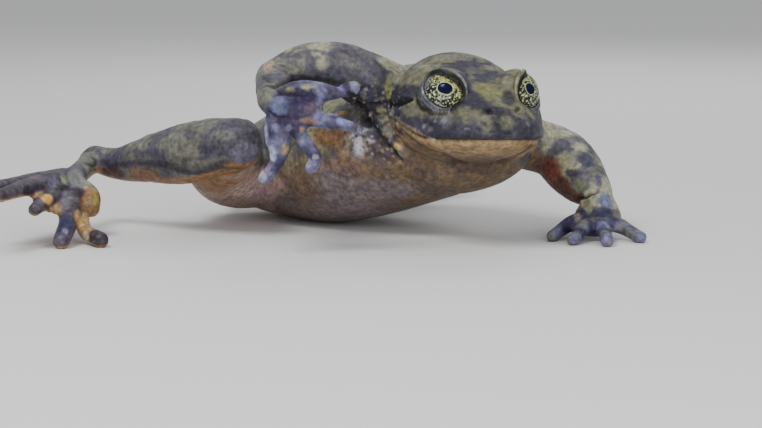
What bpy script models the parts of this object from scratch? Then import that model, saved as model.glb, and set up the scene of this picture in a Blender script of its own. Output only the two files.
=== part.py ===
"""Sehuencas water frog: a still, life-size model of a live animal.

Millimetres in the tables, metres in the meshes, +Z up.  The frog looks along -Y
and a little to +X.  The whole body is modelled as one skin, drawn over a
skeleton of rounded tubes, and is then parted by thin cuts into head, torso,
and the pieces of each leg.
"""
import math

import bmesh
import bpy
import numpy as np
from mathutils import Matrix, Vector

MM = 0.001
GAP = 0.3            # between two nodes that touch
VOXEL = 0.42         # cell of the skin that joins the tubes
SMOOTHING = 3        # passes of smoothing on that skin
BODY_FACES = 9800    # triangles of the whole skin before it is cut
WEB_THICK = 0.95

# Head: its own frame has its origin midway between the corners of the mouth
HEAD_AT = np.array([11.2, 5.8, 17.1])
HEAD_YAW = 23.0          # degrees from -Y towards +X
HEAD_PITCH = -5.0        # nose down
HEAD_ROLL = 2.5          # right side up
HEAD_HALF_WIDTH = 10.2
HEAD_LENGTH = 15.7       # mouth corners to snout tip
HEAD_BACK = 9.5
CROWN_HEIGHT = 10.2
SNOUT_FALL = 5.5         # how much lower the snout tip is than the crown
THROAT_DEPTH = 5.8
CHIN_RISE = 1.9          # how much shallower the jaw is at the chin
MOUTH_SAG = 1.1          # the lips hang under the eyes
MOUTH_CORNER_RISE = -0.1
MOUTH_GROOVE = 0.55
LIP_STEP = 0.6           # how far the lower jaw stands back

# Eyes and nostrils, in the head's frame: sideways, forward, up
EYE_AT = (5.35, 6.0, 4.75)
EYE_RADIUS = 3.2
EYE_TURN = 30.0          # degrees out from straight ahead
EYE_LIFT = 19.0
LID_RADIUS = 4.0
LID_FRONT, LID_REAR, LID_HIGH = 51.0, 80.0, 50.0   # half angles of the opening
NOSTRIL_AT = (2.15, 13.6, 3.5)
NOSTRIL_RADIUS, NOSTRIL_DEPTH = 0.6, 0.9
LORE_DEPTH = 0.8         # hollow between the eye and the lip

# Spine from the head back to the vent: x, y, z, half width, half height, roll
SPINE = (
    (15.4, 4.8, 17.2, 7.6, 6.2, 3),
    (13.2, 9.0, 15.4, 10.2, 8.3, 7),
    (10.0, 13.7, 15.0, 12.4, 9.3, 12),
    (6.0, 18.1, 14.1, 14.0, 9.9, 15),
    (2.1, 22.3, 12.8, 15.0, 10.2, 14),
    (-1.8, 26.0, 11.6, 15.0, 10.4, 12),
    (-5.6, 29.2, 10.4, 14.2, 10.2, 10),
    (-10.0, 32.4, 9.2, 12.6, 9.3, 7),
    (-14.0, 35.1, 8.1, 10.6, 8.0, 4),
    (-18.5, 37.7, 7.2, 7.8, 6.2, 2),
    (-21.8, 39.6, 6.8, 4.5, 4.2, 0),
)

# Limbs: x, y, z and radius at each station
RIGHT_SHOULDER, RIGHT_ELBOW, RIGHT_WRIST = (-2.1, 8.0, 22.6), (-14.4, 3.2, 23.4), (-14.5, -8.2, 20.7)
RIGHT_UPPER_ARM = (
    (3.5, 11.5, 19.5, 4.3),
    (*RIGHT_SHOULDER, 4.0),
    (-6.4, 6.4, 24.6, 3.5),
    (-11.3, 4.6, 24.7, 2.95),
    (*RIGHT_ELBOW, 2.6),
)
RIGHT_FOREARM = (
    (-13.8, 3.8, 23.8, 2.3),
    (*RIGHT_ELBOW, 2.6),
    (-14.7, 0.2, 22.6, 2.6),
    (-14.8, -4.4, 21.5, 2.2),
    (*RIGHT_WRIST, 1.9),
    (-13.8, -9.2, 20.2, 1.8),
)
RIGHT_PALM = (
    (-14.6, -8.0, 20.9, 1.9, 1.5, 0),
    (-13.0, -9.2, 20.4, 2.6, 1.35, 0),
    (-10.8, -9.4, 20.1, 2.9, 1.2, 0),
    (-8.8, -9.6, 19.9, 2.3, 1.0, 0),
)
RIGHT_FINGERS = (
    ((-12.4, -9.2, 21.2, 1.5), (-9.2, -9.5, 21.9, 1.35), (-6.2, -9.9, 22.2, 0.95), (-3.7, -10.3, 22.9, 0.95)),
    ((-11.0, -9.4, 19.8, 1.4), (-8.4, -9.7, 18.5, 1.1), (-6.2, -10.0, 18.1, 0.9), (-4.2, -10.2, 17.7, 0.75)),
    ((-11.8, -9.4, 18.8, 1.4), (-11.0, -9.7, 16.7, 1.05), (-9.6, -10.0, 14.6, 0.95), (-8.8, -10.2, 13.0, 0.9),
     (-9.5, -10.4, 12.0, 0.85)),
    ((-13.8, -9.2, 19.0, 1.7), (-14.1, -9.5, 16.4, 1.6), (-13.7, -9.8, 14.2, 1.35), (-14.3, -10.0, 12.4, 1.0),
     (-15.7, -10.2, 10.7, 0.95)),
)

LEFT_SHOULDER, LEFT_ELBOW, LEFT_WRIST = (17.2, 18.0, 13.6), (25.8, 23.2, 10.9), (31.1, 12.8, 5.4)
LEFT_UPPER_ARM = (
    (12.5, 15.6, 14.8, 4.4),
    (*LEFT_SHOULDER, 4.0),
    (21.4, 21.0, 12.4, 3.9),
    (*LEFT_ELBOW, 3.8),
)
LEFT_FOREARM = (
    (25.2, 23.7, 11.4, 3.2),
    (*LEFT_ELBOW, 3.7),
    (27.2, 20.4, 9.6, 4.2),
    (29.2, 16.5, 7.5, 3.7),
    (*LEFT_WRIST, 2.2),
    (31.1, 11.0, 4.2, 1.9),
)
LEFT_PALM = (
    (*LEFT_WRIST, 2.1, 1.6, 0),
    (31.0, 10.6, 3.6, 3.2, 1.3, 0),
    (30.4, 8.0, 2.1, 3.6, 1.15, 0),
    (29.8, 6.2, 1.5, 3.0, 1.0, 0),
)
LEFT_FINGERS = (
    ((29.4, 9.4, 2.6, 1.3), (27.2, 8.6, 2.2, 1.15), (25.4, 7.0, 1.3, 0.95), (24.2, 5.2, 0.75, 0.95)),
    ((29.6, 7.6, 2.0, 1.3), (28.4, 5.2, 1.9, 1.1), (27.6, 3.0, 1.2, 0.95), (26.8, 1.2, 0.75, 0.95)),
    ((31.0, 7.4, 2.0, 1.3), (31.2, 4.6, 1.9, 1.1), (31.4, 2.0, 1.2, 0.95), (31.4, -0.4, 0.75, 0.95)),
    ((32.4, 8.6, 2.3, 1.3), (34.0, 6.8, 1.9, 1.1), (35.4, 5.2, 1.2, 0.95), (36.4, 3.6, 0.75, 0.95)),
)

RIGHT_KNEE, RIGHT_HEEL, RIGHT_FOOT = (-20.2, 9.0, 13.6), (-42.2, 24.3, 9.7), (-44.6, 13.4, 7.5)
RIGHT_THIGH = (
    (-15.5, 35.0, 7.4, 5.6),
    (-19.8, 32.0, 7.7, 6.2),
    (-22.6, 26.0, 8.9, 6.2),
    (-22.8, 19.5, 10.8, 5.2),
    (-21.4, 13.4, 12.7, 4.1),
    (*RIGHT_KNEE, 3.5),
)
RIGHT_SHANK = (
    (*RIGHT_KNEE, 3.4, 3.4, 0),
    (-24.0, 11.6, 12.7, 3.6, 4.2, 0),
    (-28.3, 14.7, 11.4, 3.4, 4.3, 0),
    (-33.2, 18.2, 10.4, 2.7, 3.6, 0),
    (-38.4, 21.8, 9.3, 1.7, 2.4, 0),
    (*RIGHT_HEEL, 1.9, 1.95, 0),
)
RIGHT_TARSUS = (
    (*RIGHT_HEEL, 1.9),
    (-43.3, 21.0, 8.8, 1.6),
    (-44.2, 17.0, 8.0, 1.7),
    (*RIGHT_FOOT, 2.0),
    (-44.9, 10.8, 7.2, 1.9),
)
RIGHT_TOES = (
    ((-44.0, 12.6, 6.9, 1.4), (-42.7, 8.2, 3.8, 1.2), (-41.5, 3.6, 1.7, 1.05), (-38.9, -1.0, 1.0, 1.2)),
    ((-44.6, 12.2, 7.4, 1.8), (-44.0, 7.0, 5.4, 1.6), (-43.7, 2.6, 3.2, 1.4), (-44.2, -2.2, 1.05, 1.25)),
    ((-45.0, 12.2, 7.6, 1.6), (-45.8, 7.2, 6.9, 1.25), (-46.8, 1.6, 6.1, 1.05), (-47.6, -3.8, 5.6, 0.95)),
    ((-45.4, 12.4, 7.8, 1.7), (-47.6, 6.0, 8.1, 1.4), (-49.8, -1.6, 8.2, 1.15), (-51.6, -9.0, 8.1, 0.95)),
    ((-45.6, 13.2, 8.0, 1.6), (-48.4, 8.6, 8.3, 1.25), (-51.0, 2.8, 8.5, 1.05), (-53.2, -3.4, 8.6, 0.95)),
)

RIGHT_SOLE = (
    (-43.6, 12.2, 6.8, 1.8),
    (-42.0, 11.2, 5.6, 1.9),
    (-41.3, 9.2, 4.3, 1.4),
)
# How far along each toe its web reaches, inner toe first
WEB_REACH = (0.62, 0.70, 0.95, 0.64, 0.85)

LEFT_KNEE, LEFT_HEEL, LEFT_FOOT = (6.8, 53.6, 9.4), (-18.4, 60.2, 4.4), (-5.4, 66.2, 2.6)
LEFT_THIGH = (
    (-16.5, 37.0, 7.4, 5.4),
    (-13.5, 40.6, 7.6, 6.0),
    (-7.8, 45.2, 7.9, 6.0),
    (-1.2, 49.0, 8.5, 5.2),
    (3.6, 51.6, 9.1, 4.2),
    (*LEFT_KNEE, 3.5),
)
LEFT_SHANK = (
    (*LEFT_KNEE, 3.4),
    (1.8, 55.6, 8.5, 3.8),
    (-3.4, 57.2, 7.4, 3.6),
    (-9.2, 58.6, 6.2, 2.9),
    (-14.6, 59.8, 5.0, 2.1),
    (*LEFT_HEEL, 1.95),
)
LEFT_TARSUS = (
    (*LEFT_HEEL, 1.9),
    (-14.2, 64.0, 3.4, 1.7),
    (-9.6, 65.4, 2.8, 1.75),
    (*LEFT_FOOT, 1.9),
    (-3.0, 66.6, 2.2, 1.8),
)
LEFT_TOES = (
    ((-4.8, 65.8, 2.4, 1.4), (-1.0, 64.4, 1.7, 1.05), (2.2, 63.4, 0.95, 0.95), (5.0, 62.8, 0.8, 1.0)),
    ((-4.6, 66.0, 2.4, 1.5), (0.8, 65.0, 1.8, 1.15), (5.4, 64.2, 0.95, 0.95), (9.6, 63.8, 0.8, 1.0)),
    ((-4.6, 66.2, 2.4, 1.5), (2.0, 66.2, 1.8, 1.2), (8.2, 66.2, 0.95, 0.95), (14.0, 66.4, 0.8, 1.0)),
    ((-4.6, 66.5, 2.4, 1.5), (2.4, 67.8, 1.8, 1.25), (9.2, 69.2, 0.95, 0.95), (16.0, 70.8, 0.8, 1.0)),
    ((-4.8, 66.9, 2.4, 1.4), (1.0, 69.4, 1.8, 1.15), (6.4, 72.0, 0.95, 0.95), (11.2, 74.6, 0.8, 1.0)),
)


def unit(vector):
    """The vector, or each row of vectors, at length one."""
    vector = np.asarray(vector, float)
    return vector / np.maximum(np.linalg.norm(vector, axis=-1, keepdims=True), 1e-9)


def through(stations, steps):
    """A smooth row of points through the stations: cubic pieces whose slope at a
    station is the slope between its neighbours, evenly spaced along the length."""
    rows = np.asarray(stations, float)
    run = np.concatenate([[0], np.cumsum(np.linalg.norm(np.diff(rows[:, :3], axis=0), axis=1))])
    slope = np.gradient(rows, run, axis=0)
    at = np.linspace(0, run[-1], steps)
    piece = np.clip(np.searchsorted(run, at, side="right") - 1, 0, len(run) - 2)
    span = (run[piece + 1] - run[piece])[:, None]
    t = (at - run[piece])[:, None] / span
    start, end = rows[piece], rows[piece + 1]
    return ((2 * t**3 - 3 * t**2 + 1) * start + (t**3 - 2 * t**2 + t) * span * slope[piece]
            + (3 * t**2 - 2 * t**3) * end + (t**3 - t**2) * span * slope[piece + 1])


def mesh_object(name, points, faces):
    """A mesh object from points in millimetres."""
    mesh = bpy.data.meshes.new(name)
    mesh.from_pydata((np.asarray(points) * MM).tolist(), [], faces)
    mesh.update()
    thing = bpy.data.objects.new(name, mesh)
    bpy.context.scene.collection.objects.link(thing)
    return thing


def ring_faces(rings, sides):
    """Quads between rings of points, with a pole point before the first and after the last."""
    faces = []
    for ring in range(rings - 1):
        for side in range(sides):
            near = 1 + ring * sides
            beside = (side + 1) % sides
            faces.append((near + side, near + beside, near + sides + beside, near + sides + side))
    last = 1 + (rings - 1) * sides
    for side in range(sides):
        beside = (side + 1) % sides
        faces.append((0, 1 + beside, 1 + side))
        faces.append((last + sides, last + side, last + beside))
    return faces


def tube(name, stations, steps, sides=14, up=(0, 0, 1), squareness=2.0, cap_rings=3):
    """An oval section carried along a smooth path, with rounded ends.  A station is
    x, y, z, radius, or x, y, z, half width, half height and roll in degrees."""
    rows = np.asarray(stations, float)
    if rows.shape[1] == 4:
        rows = np.column_stack([rows, rows[:, 3], np.zeros(len(rows))])
    rows = through(rows, steps)
    ahead = unit(np.gradient(rows[:, :3], axis=0))
    across = unit(np.cross(ahead, np.asarray(up, float)))
    above = np.cross(across, ahead)
    cap = np.radians(np.linspace(0, 90, cap_rings + 2)[1:-1])
    shrink = np.concatenate([np.cos(cap[::-1]), np.ones(steps), np.cos(cap)])
    which = np.concatenate([np.zeros(cap_rings, int), np.arange(steps), np.full(cap_rings, steps - 1)])
    push = np.concatenate([-np.sin(cap[::-1]), np.zeros(steps), np.sin(cap)])
    reach = rows[which, 3:5].min(axis=1)
    middle = rows[which, :3] + ahead[which] * (push * reach)[:, None]
    turn = 2 * np.pi * np.arange(sides) / sides
    roll = np.radians(rows[which, 5])[:, None]
    wide = np.sign(np.cos(turn)) * np.abs(np.cos(turn)) ** (2 / squareness)
    high = np.sign(np.sin(turn)) * np.abs(np.sin(turn)) ** (2 / squareness)
    wide = wide * rows[which, 3:4] * shrink[:, None]
    high = high * rows[which, 4:5] * shrink[:, None]
    sideways = wide * np.cos(roll) - high * np.sin(roll)
    upward = wide * np.sin(roll) + high * np.cos(roll)
    points = (middle[:, None] + across[which][:, None] * sideways[..., None]
              + above[which][:, None] * upward[..., None])
    first = rows[0, :3] - ahead[0] * reach[0]
    final = rows[-1, :3] + ahead[-1] * reach[-1]
    points = np.concatenate([[first], points.reshape(-1, 3), [final]])
    return mesh_object(name, points, ring_faces(len(which), sides))


def head_axes():
    """The head's rightward, forward and upward directions."""
    yaw, pitch, roll = math.radians(HEAD_YAW), math.radians(HEAD_PITCH), math.radians(HEAD_ROLL)
    forward = np.array([math.sin(yaw) * math.cos(pitch), -math.cos(yaw) * math.cos(pitch), math.sin(pitch)])
    level = unit(np.cross(forward, (0, 0, 1)))
    right = level * math.cos(roll) + np.cross(level, forward) * math.sin(roll)
    return right, forward, np.cross(right, forward)


RIGHTWARD, FORWARD, UPWARD = head_axes()


def in_world(points):
    """From the head's frame (right, forward, up) to the model's."""
    points = np.asarray(points, float)
    return HEAD_AT + points[..., 0:1] * RIGHTWARD + points[..., 1:2] * FORWARD + points[..., 2:3] * UPWARD


def in_head(points):
    """From the model's frame to the head's."""
    return (np.asarray(points) - HEAD_AT) @ np.stack([RIGHTWARD, FORWARD, UPWARD], axis=1)


def plan_reach(bearing):
    """How far the outline of the lips is from the head's middle, at a bearing from
    straight ahead: a superellipse, longer towards the snout than towards the neck."""
    ahead = np.cos(bearing)
    length = np.where(ahead > 0, HEAD_LENGTH, HEAD_BACK)
    return (np.abs(np.sin(bearing) / HEAD_HALF_WIDTH) ** 2.2 + np.abs(ahead / length) ** 2.2) ** (-1 / 2.2)


def smoothstep(low, high, value):
    """0 below low, 1 above high, with a smooth rise between (falls when low > high)."""
    t = np.clip((value - low) / (high - low), 0, 1)
    return t * t * (3 - 2 * t)


def mouth_height(bearing):
    """How far the line of the lips is above the plane of the mouth's corners: it hangs
    under the eyes and rises again at the corners."""
    away = np.degrees(np.abs((bearing + np.pi) % (2 * np.pi) - np.pi))
    sag = np.exp(-((away - 50) / 26) ** 2)
    return MOUTH_CORNER_RISE * smoothstep(72, 105, away) - MOUTH_SAG * sag


def roof(forward):
    """Height of the head's middle line, which falls from the crown to the snout."""
    return CROWN_HEIGHT - SNOUT_FALL * smoothstep(-8, 15, forward)


def head_shell():
    """The head as a function of bearing and height angle: the lip outline scaled
    inwards by one superellipse up to the roof and by another down to the throat."""
    columns, rows = 64, 15
    bearing = 2 * np.pi * np.arange(columns) / columns
    reach = plan_reach(bearing)
    lips = mouth_height(bearing)
    boxy = 2.15 + 1.25 * np.clip(np.cos(bearing), 0, 1) ** 3
    angle = np.radians(np.linspace(88, 0, rows))[:, None]
    inward, rise = np.cos(angle) ** (2 / boxy), np.sin(angle) ** (2 / boxy)
    upper_z = roof(np.cos(bearing) * reach * inward) * rise + lips * (1 - rise)
    below = np.radians(np.linspace(6, 88, rows - 2))[:, None]
    stand_back = 1 - LIP_STEP / HEAD_HALF_WIDTH
    lower_in = stand_back * np.cos(below) ** (2 / 2.2) + 0 * bearing
    dip = np.sin(below) + 0 * bearing
    floor = THROAT_DEPTH - CHIN_RISE * smoothstep(0, 15, np.cos(bearing) * reach * lower_in)
    inward = np.concatenate([inward, lower_in])
    height = np.concatenate([upper_z, lips * (1 - dip) - floor * dip])
    points = np.stack([np.sin(bearing) * reach * inward, np.cos(bearing) * reach * inward, height], axis=-1)
    points = np.concatenate([[(0, 0, roof(0))], points.reshape(-1, 3), [(0, 0, -THROAT_DEPTH)]])
    return mesh_object("head_shell", in_world(points), ring_faces(2 * rows - 2, columns))


def eye_centre(side):
    """Side is 1 for the frog's right eye, -1 for its left."""
    return in_world((side * EYE_AT[0], EYE_AT[1], EYE_AT[2]))


def eye_axis(side):
    """Where an eye looks."""
    turn, lift = math.radians(EYE_TURN), math.radians(EYE_LIFT)
    return unit(side * math.sin(turn) * math.cos(lift) * RIGHTWARD
                + math.cos(turn) * math.cos(lift) * FORWARD + math.sin(lift) * UPWARD)


def about_eye(points, side):
    """For each point, seen from the middle of an eye: its distance, and how far out
    it is in the opening of the lids (1 on their rim), which is wider at the rear."""
    axis = eye_axis(side)
    front = unit(FORWARD - axis * (FORWARD @ axis))
    above = side * np.cross(front, axis)
    out = points - eye_centre(side)
    far = np.linalg.norm(out, axis=1)
    lean = np.degrees(np.arccos(np.clip((out @ axis) / np.maximum(far, 1e-6), -1, 1)))
    bearing = np.arctan2(out @ above, out @ front)
    wide = np.where(np.cos(bearing) > 0, LID_FRONT, LID_REAR)
    return far, lean * np.hypot(np.cos(bearing) / wide, np.sin(bearing) / LID_HIGH)


def ball(name, centre, radius, segments=32):
    """A plain sphere."""
    mesh = bpy.data.meshes.new(name)
    grid = bmesh.new()
    bmesh.ops.create_uvsphere(grid, u_segments=segments, v_segments=segments // 2, radius=radius * MM,
                              matrix=Matrix.Translation(Vector(np.asarray(centre) * MM)))
    grid.to_mesh(mesh)
    grid.free()
    thing = bpy.data.objects.new(name, mesh)
    bpy.context.scene.collection.objects.link(thing)
    return thing


def web(name, toe, beside, reach, hollow=0.12):
    """The skin between two toes: a sheet ruled from one toe's path to the other's, out
    to its own reach on each, whose free edge is hollowed towards the foot."""
    along, across = 12, 7
    a, b = through(toe, 40)[:, :3], through(beside, 40)[:, :3]
    share = np.linspace(0, 1, across)[None, :]
    edge = reach[0] * (1 - share) + reach[1] * share - hollow * 4 * share * (1 - share)
    at = np.linspace(0.06, 1, along)[:, None] * edge * 39
    index = np.floor(at).astype(int)
    part = (at - index)[..., None]
    on_a = a[index] * (1 - part) + a[np.minimum(index + 1, 39)] * part
    on_b = b[index] * (1 - part) + b[np.minimum(index + 1, 39)] * part
    sheet = on_a * (1 - share[..., None]) + on_b * share[..., None]
    normal = unit(np.cross(np.gradient(sheet, axis=0), np.gradient(sheet, axis=1)))
    half = normal * WEB_THICK / 2
    points = np.concatenate([(sheet + half).reshape(-1, 3), (sheet - half).reshape(-1, 3)])
    count = along * across
    faces = []
    for row in range(along - 1):
        for col in range(across - 1):
            corner = row * across + col
            quad = (corner, corner + across, corner + across + 1, corner + 1)
            for three in ((0, 1, 2), (0, 2, 3)):
                faces.append(tuple(quad[i] for i in three))
                faces.append(tuple(quad[i] + count for i in reversed(three)))
    rim = ([col for col in range(across)] + [row * across + across - 1 for row in range(1, along)]
           + [(along - 1) * across + col for col in range(across - 2, -1, -1)]
           + [row * across for row in range(along - 2, 0, -1)])
    for here, there in zip(rim, rim[1:] + rim[:1]):
        faces.append((here, there, there + count, here + count))
    return mesh_object(name, points, faces)


def flesh_pieces():
    """Every closed piece that the skin is drawn over."""
    pieces = [tube("spine", SPINE, 34, sides=32, squareness=2.15, cap_rings=4), head_shell()]
    for side in (1, -1):
        pieces.append(ball("lid_bulge", eye_centre(side), LID_RADIUS))
    for name, stations, steps in (
            ("right_upper_arm", RIGHT_UPPER_ARM, 14), ("right_forearm", RIGHT_FOREARM, 14),
            ("left_upper_arm", LEFT_UPPER_ARM, 12), ("left_forearm", LEFT_FOREARM, 14),
            ("right_thigh", RIGHT_THIGH, 18), ("right_shank", RIGHT_SHANK, 20),
            ("right_tarsus", RIGHT_TARSUS, 12), ("left_thigh", LEFT_THIGH, 18),
            ("left_shank", LEFT_SHANK, 20), ("left_tarsus", LEFT_TARSUS, 12)):
        pieces.append(tube(name, stations, steps, sides=18))
    pieces.append(tube("right_palm", RIGHT_PALM, 8, up=(0, -1, 0)))
    pieces.append(tube("left_palm", LEFT_PALM, 8, up=(0, 0, 1)))
    pieces.append(tube("right_sole", RIGHT_SOLE, 6))
    for hand in (RIGHT_FINGERS, LEFT_FINGERS, RIGHT_TOES, LEFT_TOES):
        for number, digit in enumerate(hand):
            pieces.append(tube(f"digit_{number}", digit, 16, sides=10, up=(0.3, 0.1, 1)))
    for toes in (RIGHT_TOES, LEFT_TOES):
        for toe, beside, reach in zip(toes, toes[1:], zip(WEB_REACH, WEB_REACH[1:])):
            pieces.append(web("web", toe, beside, reach))
    return pieces


def evaluated(thing):
    """The object's mesh with its modifiers applied; the object is removed."""
    depsgraph = bpy.context.evaluated_depsgraph_get()
    mesh = bpy.data.meshes.new_from_object(thing.evaluated_get(depsgraph))
    bpy.data.objects.remove(thing)
    return mesh


def joined(name, pieces):
    """One closed surface from overlapping closed pieces, by one Boolean union."""
    others = bpy.data.collections.new(name + "_others")
    bpy.context.scene.collection.children.link(others)
    for piece in pieces[1:]:
        bpy.context.scene.collection.objects.unlink(piece)
        others.objects.link(piece)
    union = pieces[0].modifiers.new("union", "BOOLEAN")
    union.operation, union.operand_type, union.solver = "UNION", "COLLECTION", "MANIFOLD"
    union.collection = others
    mesh = evaluated(pieces[0])
    for piece in pieces[1:]:
        bpy.data.objects.remove(piece)
    bpy.data.collections.remove(others)
    return mesh


def points_of(mesh):
    """The mesh's points in millimetres."""
    flat = np.empty(len(mesh.vertices) * 3)
    mesh.vertices.foreach_get("co", flat)
    return flat.reshape(-1, 3) / MM


def set_points(mesh, points):
    """Write points in millimetres back into the mesh."""
    mesh.vertices.foreach_set("co", (points * MM).ravel())
    mesh.update()


def carve_head(points):
    """Mouth line, nostrils, hollows before the eyes and the opening of the lids,
    pressed into the skin of the head."""
    local = in_head(points)
    bearing = np.arctan2(local[:, 0], local[:, 1])
    outside = np.hypot(local[:, 0], local[:, 1]) / plan_reach(bearing)
    on_lips = smoothstep(0.86, 0.95, outside) * smoothstep(1.12, 1.05, outside)
    on_lips = on_lips * smoothstep(math.radians(118), math.radians(96), np.abs(bearing))
    above_lips = local[:, 2] - mouth_height(bearing)
    groove = MOUTH_GROOVE * np.exp(-((above_lips + 0.15) / 0.34) ** 2) * on_lips
    inward = -np.stack([np.sin(bearing), np.cos(bearing), 0 * bearing], axis=1)
    local = local + inward * groove[:, None]
    for side in (1, -1):
        hollow = np.exp(-(np.linalg.norm(local - (side * 6.9, 10.4, 2.6), axis=1) / 2.3) ** 2)
        local -= LORE_DEPTH * hollow[:, None] * unit((side * 0.8, 0.6, 0.1))
        away = np.linalg.norm(local - (side * NOSTRIL_AT[0], *NOSTRIL_AT[1:]), axis=1)
        pit = NOSTRIL_DEPTH * np.exp(-(away / NOSTRIL_RADIUS) ** 2) - 0.16 * np.exp(-((away - 1.1) / 0.5) ** 2)
        local -= pit[:, None] * unit((side * 0.25, 0.8, 0.55))
    points = in_world(local)
    for side in (1, -1):
        far, gape = about_eye(points, side)
        near = smoothstep(LID_RADIUS + 3.6, LID_RADIUS + 2.0, far)
        opening = smoothstep(1.03, 0.88, gape) * near
        rim = 0.22 * np.exp(-((gape - 1.14) / 0.09) ** 2) * near
        wanted = far * (1 - opening) + (EYE_RADIUS - 0.6) * opening + rim
        centre = eye_centre(side)
        points = centre + (points - centre) * (wanted / np.maximum(far, 1e-6))[:, None]
    return points


def whole_skin():
    """The joined pieces under one smooth skin, with the head's features, flat where it rests."""
    mesh = joined("frog", flesh_pieces())
    thing = bpy.data.objects.new("skin", mesh)
    bpy.context.scene.collection.objects.link(thing)
    remesh = thing.modifiers.new("remesh", "REMESH")
    remesh.mode, remesh.voxel_size, remesh.adaptivity = "VOXEL", VOXEL * MM, 0
    smooth = thing.modifiers.new("smooth", "SMOOTH")
    smooth.factor, smooth.iterations = 0.5, SMOOTHING
    mesh = evaluated(thing)
    points = carve_head(points_of(mesh))
    points[:, 2] = np.maximum(points[:, 2], 0)
    set_points(mesh, points)
    thing = bpy.data.objects.new("skin", mesh)
    bpy.context.scene.collection.objects.link(thing)
    triangles = sum(len(face.vertices) - 2 for face in mesh.polygons)
    fewer = thing.modifiers.new("fewer", "DECIMATE")
    fewer.ratio = BODY_FACES / triangles
    fewer.use_collapse_triangulate = True
    mesh = evaluated(thing)
    points = points_of(mesh)
    points[points[:, 2] < 0.06, 2] = 0
    set_points(mesh, points)
    return mesh


def disc(centre, normal, radius):
    """A thin round cutter across the body at a joint."""
    mesh = bpy.data.meshes.new("cut")
    grid = bmesh.new()
    turn = Vector(unit(normal)).to_track_quat("Z", "Y").to_matrix().to_4x4()
    place = Matrix.Translation(Vector(np.asarray(centre, float) * MM)) @ turn
    bmesh.ops.create_cone(grid, cap_ends=True, segments=28, radius1=radius * MM, radius2=radius * MM,
                          depth=GAP * MM, matrix=place)
    grid.to_mesh(mesh)
    grid.free()
    thing = bpy.data.objects.new("cut", mesh)
    bpy.context.scene.collection.objects.link(thing)
    return thing


def fold_cut(before, joint, after, radius, inward):
    """A disc in the plane that halves the bend at a joint, set inwards by so many
    millimetres so that it also parts the flesh that touches inside the bend."""
    back, on = unit(np.subtract(before, joint)), unit(np.subtract(after, joint))
    return disc(np.asarray(joint) + unit(back + on) * inward, back - on, radius)


def joint_cuts():
    """One thin disc where each two nodes meet."""
    return [
        disc(in_world((0, -3.2, 1.0)), FORWARD - 0.12 * UPWARD, 17),
        disc((-2.9, 7.7, 22.9), (-1.0, -0.5, 0.45), 6.2),
        fold_cut(RIGHT_SHOULDER, RIGHT_ELBOW, RIGHT_WRIST, 5, 0.4),
        fold_cut((-15.9, -4.4, 21.3), (-15.2, -8.9, 20.6), (-10.8, -9.4, 19.9), 3.4, 0.5),
        disc((20.4, 20.2, 12.8), (0.83, 0.51, -0.25), 5.4),
        fold_cut(LEFT_SHOULDER, LEFT_ELBOW, LEFT_WRIST, 7, 0.6),
        disc(LEFT_WRIST, np.subtract(LEFT_WRIST, (30.2, 16.5, 7.5)), 3.6),
        disc((-18.3, 31.8, 8.5), (-0.97, -0.2, 0.1), 13.6),
        fold_cut((-22.8, 19.5, 10.8), RIGHT_KNEE, RIGHT_HEEL, 11, 5.5),
        fold_cut(RIGHT_KNEE, RIGHT_HEEL, RIGHT_FOOT, 4.2, 1.0),
        disc((-44.6, 14.6, 7.8), (0.05, -1.0, -0.2), 3.6),
        disc((-10.6, 42.2, 8.0), (0.1, 1.0, 0.05), 15),
        fold_cut((-1.2, 49.0, 8.5), LEFT_KNEE, LEFT_HEEL, 11, 5.5),
        fold_cut(LEFT_KNEE, LEFT_HEEL, LEFT_FOOT, 7, 4.0),
        disc((-6.6, 66.0, 2.7), (1.0, 0.3, -0.1), 3.6),
    ]


# Each node's name, and a place inside it
NODES = {
    "head": (14.0, -2.0, 18.0), "torso": (0.0, 25.0, 12.0),
    "upper_arm_right": (-8.0, 6.0, 24.6), "forearm_right": (-15.9, -2.0, 21.8), "hand_right": (-11.5, -9.4, 19.6),
    "upper_arm_left": (21.0, 20.8, 13.2), "forearm_left": (29.0, 18.6, 9.0), "hand_left": (30.4, 7.0, 2.0),
    "thigh_right": (-23.0, 22.0, 9.8), "shank_right": (-31.0, 16.5, 11.5), "tarsus_right": (-44.2, 19.0, 9.3),
    "foot_right": (-45.6, 6.0, 7.2),
    "thigh_left": (-3.0, 48.0, 8.3), "shank_left": (-5.0, 57.6, 7.0), "tarsus_left": (-12.0, 64.4, 3.1),
    "foot_left": (2.0, 66.8, 1.8),
}

# Colour, roughness of each kind of part
FINISH = {
    "head": ((0.10, 0.09, 0.10), 0.35), "torso": ((0.13, 0.11, 0.08), 0.38),
    "upper_arm": ((0.15, 0.15, 0.08), 0.38), "forearm": ((0.15, 0.15, 0.09), 0.38),
    "hand": ((0.16, 0.16, 0.30), 0.32), "thigh": ((0.22, 0.12, 0.06), 0.40),
    "shank": ((0.15, 0.15, 0.13), 0.42), "tarsus": ((0.13, 0.13, 0.12), 0.42),
    "foot": ((0.30, 0.17, 0.05), 0.36), "eye": ((0.45, 0.50, 0.12), 0.08),
}


def finish(name):
    """The node's own material."""
    kind = name.rsplit("_", 1)[0] if name.endswith(("_right", "_left")) else name
    colour, roughness = FINISH[kind]
    material = bpy.data.materials.new(name)
    material.use_nodes = True
    shader = material.node_tree.nodes["Principled BSDF"]
    shader.inputs["Base Color"].default_value = (*colour, 1)
    shader.inputs["Roughness"].default_value = roughness
    shader.inputs["Metallic"].default_value = 0
    return material


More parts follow.
